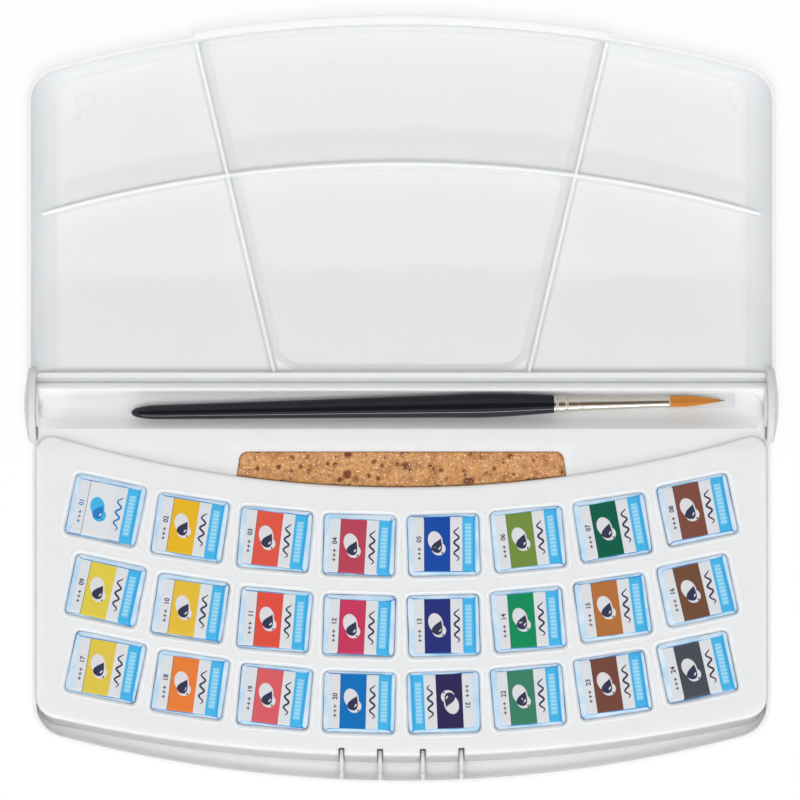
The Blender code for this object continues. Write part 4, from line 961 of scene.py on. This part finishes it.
def mapped(source, kind, **sockets):
    return addNode(source.id_data, "ShaderNodeMapping", vector_type=kind, Vector=source, **sockets).outputs["Vector"]


def disc(sheet, centre, radii, turn, soft=0.04):
    # 1 inside an ellipse on the sheet
    place = mapped(sheet, 'TEXTURE', Location=(*centre, 0), Rotation=(0, 0, turn), Scale=(*radii, 1))
    length = addNode(sheet.id_data, "ShaderNodeVectorMath", operation='LENGTH', Vector=place)
    return ranged(length.outputs["Value"], 1 + soft, 1 - soft)


def labelMaterial(number, colour):
    # printed sheet: pale panel, colour block with a pale blob, sky-blue ground and band, with painted shade as darker
    # blue along the folds
    plan, ink, scale = labelPlan, labelInk, wrapperShape["sheet"]
    material, tree, shader = newMaterial(f"label{number:02d}", ink["white"], 0.42, Specular_IOR_Level=0.3)
    shift, slide, turn = labelOffsets[number - 1]
    sheet = mapped(addNode(tree, "ShaderNodeUVMap", uv_map="sheet").outputs["UV"], 'POINT',
                   Location=(-scale / 2, -scale / 2, 0), Scale=(scale, scale, 1))
    sheet = mapped(sheet, 'TEXTURE', Location=(shift, slide, 0), Rotation=(0, 0, turn))
    split = addNode(tree, "ShaderNodeSeparateXYZ", Vector=sheet)
    x, y = split.outputs["X"], split.outputs["Y"]
    left, top, bottom, line, crease = pick(plan, "left top bottom line crease")
    inside = band(y, bottom, top)
    comb = reckoned('SINE', product(y, tau / plan["barPitch"]))
    look = mixed(spread(noiseOf(tree, 170.0, 2.0), -0.6, 1.1), ink["side"], ink["sideBlue"])
    for mask, tone in (
            (product(band(x, left, crease + 0.5, 0.1), band(y, bottom - 0.15, top + 0.15, 0.06)), ink["sky"]),
            # painted shade: broken darker blue along the top and bottom folds
            (product(larger(band(y, top, top + 0.3, 0.12), band(y, bottom - 0.3, bottom, 0.12)),
                     ranged(noiseOf(tree, 110.0, 1.0), 0.42, 0.58)), ink["deep"]),
            (product(band(x, left, plan["bandStart"]), inside), ink["white"]),
            (product(band(x, line, plan["colourEnd"]), inside), colour),
            (product(band(x, line - 0.07, line + 0.07), inside), ink["dark"]),
            (larger(*(disc(sheet, *blob) for blob in plan["blobs"])), ink["blob"] if number > 1 else ink["sky"]),
            (product(product(band(x, plan["boxLeft"], plan["boxRight"], 0.12),
                             band(y, plan["boxStart"], plan["boxEnd"], 0.15)), spread(comb, 0.45, 0.95)), ink["bars"]),
            # painted shade: a broken darker blue line along the side fold
            (product(band(x, crease - 0.12, crease + 0.12, 0.1), spread(noiseOf(tree, 500.0), 0.3, 0.9)),
             ink["deep"])):
        look = mixed(mask, look, tone)
    feed(shader, Base_Color=look, Roughness=spread(noiseOf(tree, 600.0, 3.0), 0.36, 0.52),
         Normal=bumped(noiseOf(tree, 2200.0, 2.0), 0.15, 0.00002))
    return material


def makeInk(name, colour, other):
    material, tree, shader = newMaterial(name, colour, 0.45)
    feed(shader, Base_Color=mixed(noiseOf(tree, 900.0), colour, other))
    return material


def labelMarks(number):
    # dark marks and the small pale glint, both following the label's own shift
    plan, place, drop, (x, y, *glint) = labelPlan, labelPlan["numberPlace"], labelPlan["drop"], labelPlan["glint"]
    dark = [numberMarks(f"{number:02d}", plan["number"], place), waveMark(plan), dropMark(plan),
            *[spot(*middle, radius, radius) for *middle, radius in plan["spots"]],
            *[plusMark(place[0], along, plan["plus"], plan["plusStroke"]) for along in plan["pluses"]]]
    pale = [spot(drop[0] + x, drop[1] + y, *glint)]
    shift, slide, turn = labelOffsets[number - 1]
    layers = []
    for index, (parts, thick) in enumerate(zip((dark, pale), plan["film"]), 1):
        flat = laid(joined(parts), (shift, slide, 0), turn)
        onPaper(flat, number, thick)
        for face in flat.faces:
            face.material_index = index
        layers.append(flat)
    return layers


def makeWrappers():
    inks = [makeInk(name, labelInk[tone], other) for name, tone, other in (
        ("printInk", "dark", (0.035, 0.04, 0.09)), ("printInkBlue", "deep", (0.02, 0.20, 0.55)),
        ("printInkPale", "blob", (0.60, 0.62, 0.66)))]
    for number, (x, y, turn) in enumerate(panPlaces(), 1):
        half = pi if number == wrapperShape["turnedRound"] else 0.0
        whole = laid(joined([wrapperMesh(number), *labelMarks(number)]), (x, y, wrapperShape["bottom"]), turn + half)
        paper = toObject(f"wrapper{number:02d}", whole)
        for material in (labelMaterial(number, labelColours[number - 1]), inks[0 if number > 1 else 1], inks[2]):
            paper.data.materials.append(material)
        node = f"wrapper_{number:02d}"
        finishPiece(paper, f"pan_{number:02d}", None, [node], 50)


makePanPlastic()
print("scene: half pans finished")
makeWrappers()
print("scene: wrappers folded and printed")


# a cell row is the size of the cells, the share that are pores, their radius in cells and their depth; dark is painted
# shade deep in the pores, glint painted highlights
spongeLook = {"voxel": 0.32, "cells": ((5.2, 0.30, 0.42, 0.7), (2.2, 0.42, 0.42, 0.6), (1.0, 0.55, 0.42, 0.36)),
              "seed": 11, "swell": 0.2, "colour": (0.56, 0.265, 0.095), "light": (0.72, 0.39, 0.16),
              "shade": (0.40, 0.155, 0.05), "dark": (0.20, 0.065, 0.02), "glint": (1.0, 0.88, 0.72)}


def makeSpongeMaterial():
    look = spongeLook
    material, tree, shader = newMaterial("spongeCellulose", look["colour"], 0.6, Subsurface_Weight=0.2,
                                         Subsurface_Scale=0.001)
    tone = mixed(ranged(noiseOf(tree, 1100.0, 3.0), 0.36, 0.66), look["colour"], look["light"])
    # painted shade darkens the pores deep in, and the tiny near-white glints are painted highlights
    for source, start, end, over in (
            (noiseOf(tree, 330.0, 3.0), 0.5, 0.75, "shade"), (noiseOf(tree, 1500.0, 3.0), 0.58, 0.68, "shade"),
            (attribute(tree, "pore"), 0.05, 0.6, "dark"), (noiseOf(tree, 1900.0, 1.0), 0.66, 0.72, "glint")):
        tone = mixed(ranged(source, start, end), tone, look[over])
    feed(shader, Base_Color=tone, Normal=bumped(noiseOf(tree, 1700.0, 3.0), 0.8, 0.0003))
    return material


def poreAt(place):
    # 0 on the skin between pores, towards 1 deep in one: a few big ones and many small
    deepest = 0.0
    for i, (size, share, radius, depth) in enumerate(spongeLook["cells"]):
        here = place / size + Vector((spongeLook["seed"] + i * 31.7, 0, 0))
        distances, centres = noise.voronoi(here)
        chance = abs(noise.cell(centres[0] * 9.7)) % 1.0
        if chance < share:
            reach = radius * (0.55 + 0.45 * chance / share)
            rough = 1 + 0.35 * noise.noise(here * 3.1)
            inside = max(0.0, 1 - distances[0] * rough / reach)
            deepest = max(deepest, depth * min(1.0, inside * 2.2) ** 0.7)
    return deepest


def makeSponge():
    soft, low, high = pick(spongeShape, "soft low high")
    outline = spongeOutline(spongeLook["swell"], 60)
    sponge = toObject("spongeBlock", growSolid([*reversed(rolledEdge(outline, soft, low, 1, 5)),
                                                *rolledEdge(outline, soft, high, -1, 5)]))
    remesh = sponge.modifiers.new("even", 'REMESH')
    remesh.mode = 'VOXEL'
    remesh.voxel_size = spongeLook["voxel"]
    applied(sponge)
    bm = bmesh.new()
    bm.from_mesh(sponge.data)
    bm.normal_update()
    layer = bm.verts.layers.float.new("pore")
    for vert in bm.verts:
        vert[layer] = poreAt(vert.co)
    for vert, normal in [(vert, vert.normal.copy()) for vert in bm.verts]:
        vert.co -= normal * vert[layer]
    bm.to_mesh(sponge.data)
    bm.free()
    piece = finishPiece(sponge, "sponge", makeSpongeMaterial(), ["sponge"], 80)


makeSponge()
print("scene: sponge foamed")


# tone and shade are the two ends of each cloudy colour, rough those of its gloss
brushPlace = {"x": -78.4, "y": -2.2, "z": 10.05, "turn": 0.0205377}
handleShape = {"length": 122.6, "radius": 3.6, "tenon": 5.0, "tenonRadius": 2.2, "nose": 0.012, "noseRadius": 0.38,
               "shares": ((0.012, 0.38), (0.04, 0.55), (0.09, 0.60), (0.3, 0.70), (0.55, 0.83), (0.74, 0.94),
                          (0.83, 1.0), (0.91, 0.92), (1, 0.74)),
               "tone": (0.003, 0.004, 0.008), "shade": (0.005, 0.007, 0.015), "rough": (0.04, 0.08)}
ferruleShape = {"start": 122.7, "end": 156.3, "wide": 2.75, "middle": 2.25, "narrow": 1.67, "middleShare": 0.215,
                "crimps": ((0.03, 0.3), (0.112, 0.34), (0.215, 0.1), (0.985, -0.14)), "crimpWidth": 0.9, "wall": 0.25,
                "bore": 1.3, "tone": (0.88, 0.84, 0.76), "shade": (0.76, 0.72, 0.64), "rough": (0.10, 0.22)}
tuftShape = {"start": 154.3, "tip": 172.3, "belly": 160.4, "bellyRadius": 1.58, "rootRadius": 1.5, "hairs": 620,
             "hair": 0.085, "seed": 5, "steps": 7, "heart": 0.55, "taper": 0.8, "stray": 0.05, "core": 0.82,
             "tone": (0.88, 0.37, 0.02), "shade": (0.46, 0.16, 0.006), "tipTone": (0.30, 0.17, 0.07),
             "tipFade": (3.6, 0.4), "rough": (0.35, 0.55)}
guardShape = {"start": 154.8, "end": 175.3, "outer": 2.2, "wall": 0.15, "tone": (0.66, 0.68, 0.69),
              "shade": (0.56, 0.58, 0.60), "rough": (0.03, 0.1)}


def brushMaterial(name, shape, toneNoise, roughNoise, **sockets):
    tone, shade, rough = pick(shape, "tone shade rough")
    material, tree, shader = newMaterial(name, tone, rough[0], **sockets)
    feed(shader, Base_Color=mixed(noiseOf(tree, *toneNoise), tone, shade),
         Roughness=spread(noiseOf(tree, *roughNoise), *rough))
    return material


def finishBrush(name, bm, material, node, sharp=50):
    piece = toObject(name, laid(bm, pick(brushPlace, "x y z"), brushPlace["turn"]))
    finishPiece(piece, "brush", material, [node], sharp)


def makeHandle():
    shape = handleShape
    length, radius, tenon, thin, nose = pick(shape, "length radius tenon tenonRadius nose")
    profile = [(0, 0), *[(length * nose * sin(angle) ** 2, radius * shape["noseRadius"] * sin(angle))
                         for angle in quarter(8)[1:8]]]
    profile += [(length * share, radius * eased(shape["shares"], share))
                for share in (nose + (1 - nose) * i / 70 for i in range(71))]
    profile += [(length, thin), (length + tenon - 0.3, thin), (length + tenon, thin - 0.3), (length + tenon, 0)]
    material = brushMaterial("handleLacquer", shape, (60.0, 3.0, (0.2, 1, 1)), (400.0,), Specular_IOR_Level=0.5)
    finishBrush("brushHandle", turned(profile, 64), material, "brush_handle")


def makeFerrule():
    shape = ferruleShape
    start, end, wide, middle, narrow, wall = pick(shape, "start end wide middle narrow wall")
    waist, crimpWidth, length = shape["middleShare"], shape["crimpWidth"], end - start
    outside = []
    for i in range(121):
        share = i / 70 * 0.26 if i < 70 else 0.26 + (i - 70) / 50 * 0.74
        if share < waist:
            radius = wide + (middle - wide) * share / waist
        else:
            radius = middle + (narrow - middle) * (share - waist) / (1 - waist)
        for crimp, depth in shape["crimps"]:
            radius -= depth * exp(-abs(share - crimp) * length / crimpWidth * 4.4)
        outside.append((start + length * share, radius))
    mouthX, mouth = outside[-1]
    rolled = [(mouthX + 0.1, mouth - 0.06), (mouthX + 0.12, mouth - wall / 2), (mouthX + 0.1, mouth - wall + 0.06)]
    inside = [(x, max(radius - wall, shape["bore"])) for x, radius in reversed(outside)]
    material = brushMaterial("ferruleMetal", shape, (220.0, 3.0, (8, 1, 1)), (500.0, 3.0, (6, 1, 1)), Metallic=1.0)
    finishBrush("brushFerrule", turned([*outside, *rolled, *inside], 64, True), material, "brush_ferrule")


def tuftRadius(share):
    # radius of the bundle along its length: full belly, fine point
    shape = tuftShape
    bellyShare = (shape["belly"] - shape["start"]) / (shape["tip"] - shape["start"])
    if share < bellyShare:
        rise = sin(pi / 2 * share / bellyShare)
        return shape["rootRadius"] + (shape["bellyRadius"] - shape["rootRadius"]) * rise
    fall = (share - bellyShare) / (1 - bellyShare)
    return shape["bellyRadius"] * (1 - fall ** 1.4) + 0.04


def makeHair(i, chance):
    # a thin three-sided rod along the bundle; the further out, the earlier it may end
    shape = tuftShape
    start, tip, hair, steps, heart, taper, off = pick(shape, "start tip hair steps heart taper stray")
    out = sqrt((i + 0.5) / shape["hairs"])
    angle = pi * (3 - sqrt(5)) * i
    end = 1 - (1 - out) * 0.05 - out * chance.uniform(0.0, 0.30) if i % 3 else 1 - chance.uniform(0, 0.04)
    stray = chance.uniform(-off, off)
    rings = []
    for k in range(steps + 1):
        share = end * k / steps
        away = tuftRadius(share) * (heart + (1 - heart) * out) * (1 if k else 0.96)
        thin = hair * (1 - taper * (k / steps) ** 2)
        turn = angle + stray * share
        centre = Vector((start + (tip - start) * share, away * cos(turn), away * sin(turn)))
        rings.append([centre + Vector((0, thin * cos(turn + a), thin * sin(turn + a)))
                      for a in (0, tau / 3, 2 * tau / 3)])
    return growSolid(rings)


def makeTuft():
    shape = tuftShape
    chance = random.Random(shape["seed"])
    start, tip = shape["start"], shape["tip"]
    inner = [(start + (tip - start) * i / 24, tuftRadius(i / 24) * shape["core"]) for i in range(24)]
    core = turned([(start, 0), *inner, (tip - 0.5, 0)], 24)
    bm = joined([core, *[makeHair(i, chance) for i in range(shape["hairs"])]])
    material = brushMaterial("tuftHair", shape, (1500.0, 3.0, (0.05, 1, 1)), (900.0,), Specular_IOR_Level=0.2)
    tree = material.node_tree
    shader = tree.nodes["Principled BSDF"]
    place = addNode(tree, "ShaderNodeSeparateXYZ", Vector=addNode(tree, "ShaderNodeTexCoord").outputs["Object"])
    fade = ranged(place.outputs["X"], *((brushPlace["x"] + tip - before) / 1000 for before in shape["tipFade"]))
    feed(shader, Base_Color=mixed(fade, shader.inputs["Base Color"].links[0].from_socket, shape["tipTone"]))
    finishBrush("brushTuft", bm, material, "brush_bristles", 60)


def makeGuard():
    start, end, outer, wall = pick(guardShape, "start end outer wall")
    inner = outer - wall
    profile = [(start, inner + 0.05), (start, outer - 0.04), (start + 0.06, outer), (end - 0.06, outer),
               (end, outer - 0.04), (end, inner + 0.05), (end - 0.06, inner), (start + 0.06, inner)]
    material = brushMaterial("guardClear", guardShape, (200.0,), (300.0,), Alpha=0.025, IOR=1.45)
    finishBrush("bristleGuard", turned(profile, 64, True), material, "bristle_guard")


makeHandle()
makeFerrule()
makeTuft()
makeGuard()
print("scene: brush finished")

stageShape = {"size": 6.0, "paper": 0.92, "veil": 0.8, "drop": 0.0001}
cameraPlace = {"distance": 2.0, "focus": 0.012, "x": -0.00043, "y": 0.0, "frame": 800 / 3.45 * 0.001}
studio = {"sky": (0.985, 0.992, 1.0), "skyLevel": 0.42, "overheadPower": 40.0, "overheadSize": (0.8, 0.8),
          "overheadPlace": (0.0, -0.36, 2.58), "frontPower": 9.0, "frontSize": (1.6, 0.1),
          "frontPlace": (0.0, -1.9, 0.8), "cardHeight": 2.4, "cardWidth": 3.4, "darkCard": (-1.5, 0.7),
          "darkTone": (0.15, 0.115, 0.085), "greyCard": (0.7, 9.0), "greyTone": (0.55, 0.55, 0.55)}


def levelSheet(name, width, depth, place):
    bm = bmesh.new()
    bmesh.ops.create_grid(bm, x_segments=1, y_segments=1, size=0.5)
    return toObject(name, stretched(bm, (width, depth, 1), place))


def blended(mask, first, second, socket):
    # shows the first where the mask is 0, the second where it is 1
    blend = addNode(mask.id_data, "ShaderNodeMixShader", Fac=mask)
    plug(blend.inputs[1], first)
    plug(blend.inputs[2], second)
    plug(socket, blend.outputs["Shader"])


def seenDirectly(tree):
    # 1 for rays from the camera, or seen in gloss or through clear pieces
    rays = addNode(tree, "ShaderNodeLightPath").outputs
    return larger(larger(rays["Is Camera Ray"], rays["Is Glossy Ray"]), rays["Is Transmission Ray"])


def makeStage():
    # a plain floor that shows as white and keeps a light shadow
    size = stageShape["size"]
    floor = levelSheet("floor", size, size, (0, 0, -stageShape["drop"]))
    material, tree, shader = newMaterial("floorPaper", (stageShape["paper"],) * 3, 0.9)
    glow = addNode(tree, "ShaderNodeEmission", Strength=1.0)
    blended(product(seenDirectly(tree), stageShape["veil"]), shader.outputs["BSDF"], glow.outputs["Emission"],
            tree.nodes["Material Output"].inputs["Surface"])
    floor.data.materials.append(material)


def addCard(name, edges, tone):
    # a card over the table that only gloss sees, as in a studio
    card = levelSheet(name, studio["cardWidth"], edges[1] - edges[0], (0, sum(edges) / 2, studio["cardHeight"]))
    material = bpy.data.materials.new(name)
    material.use_nodes = True
    tree = material.node_tree
    tree.nodes.clear()
    glow = addNode(tree, "ShaderNodeEmission", Color=(*tone, 1), Strength=1.0)
    addNode(tree, "ShaderNodeOutputMaterial", Surface=glow.outputs["Emission"])
    card.data.materials.append(material)
    card.visible_camera = card.visible_diffuse = card.visible_shadow = card.visible_transmission = False


def addLamp(name, place, size, power):
    light = bpy.data.lights.new(name, 'AREA')
    light.shape, light.energy = 'RECTANGLE', power
    light.size, light.size_y = size
    lamp = placed(name, light)
    lamp.location = place
    lamp.rotation_euler = (-Vector(place)).to_track_quat('-Z', 'Y').to_euler()
    return lamp


def makeLight():
    world = bpy.data.worlds.new("studio")
    bpy.context.scene.world = world
    world.use_nodes = True
    tree = world.node_tree
    sky = tree.nodes["Background"]
    feed(sky, Color=(*studio["sky"], 1), Strength=studio["skyLevel"])
    white = addNode(tree, "ShaderNodeBackground", Strength=1.0)
    blended(seenDirectly(tree), sky.outputs["Background"], white.outputs["Background"],
            tree.nodes["World Output"].inputs["Surface"])
    overhead = addLamp("overheadLamp", studio["overheadPlace"], studio["overheadSize"], studio["overheadPower"])
    overhead.visible_glossy = False
    addCard("darkCard", studio["darkCard"], studio["darkTone"])
    addCard("greyCard", studio["greyCard"], studio["greyTone"])
    addLamp("frontLamp", studio["frontPlace"], studio["frontSize"], studio["frontPower"])
    bpy.context.scene.view_settings.view_transform = 'Standard'


def makeCamera():
    x, y, distance, focus, frameWidth = pick(cameraPlace, "x y distance focus frame")
    data = bpy.data.cameras.new("camera")
    data.sensor_width = 36
    data.lens = data.sensor_width * (distance - focus) / frameWidth
    camera = placed("camera", data)
    camera.location = (x, y, distance)
    bpy.context.scene.camera = camera


makeStage()
makeLight()
makeCamera()
print("scene: stage, light and camera set")
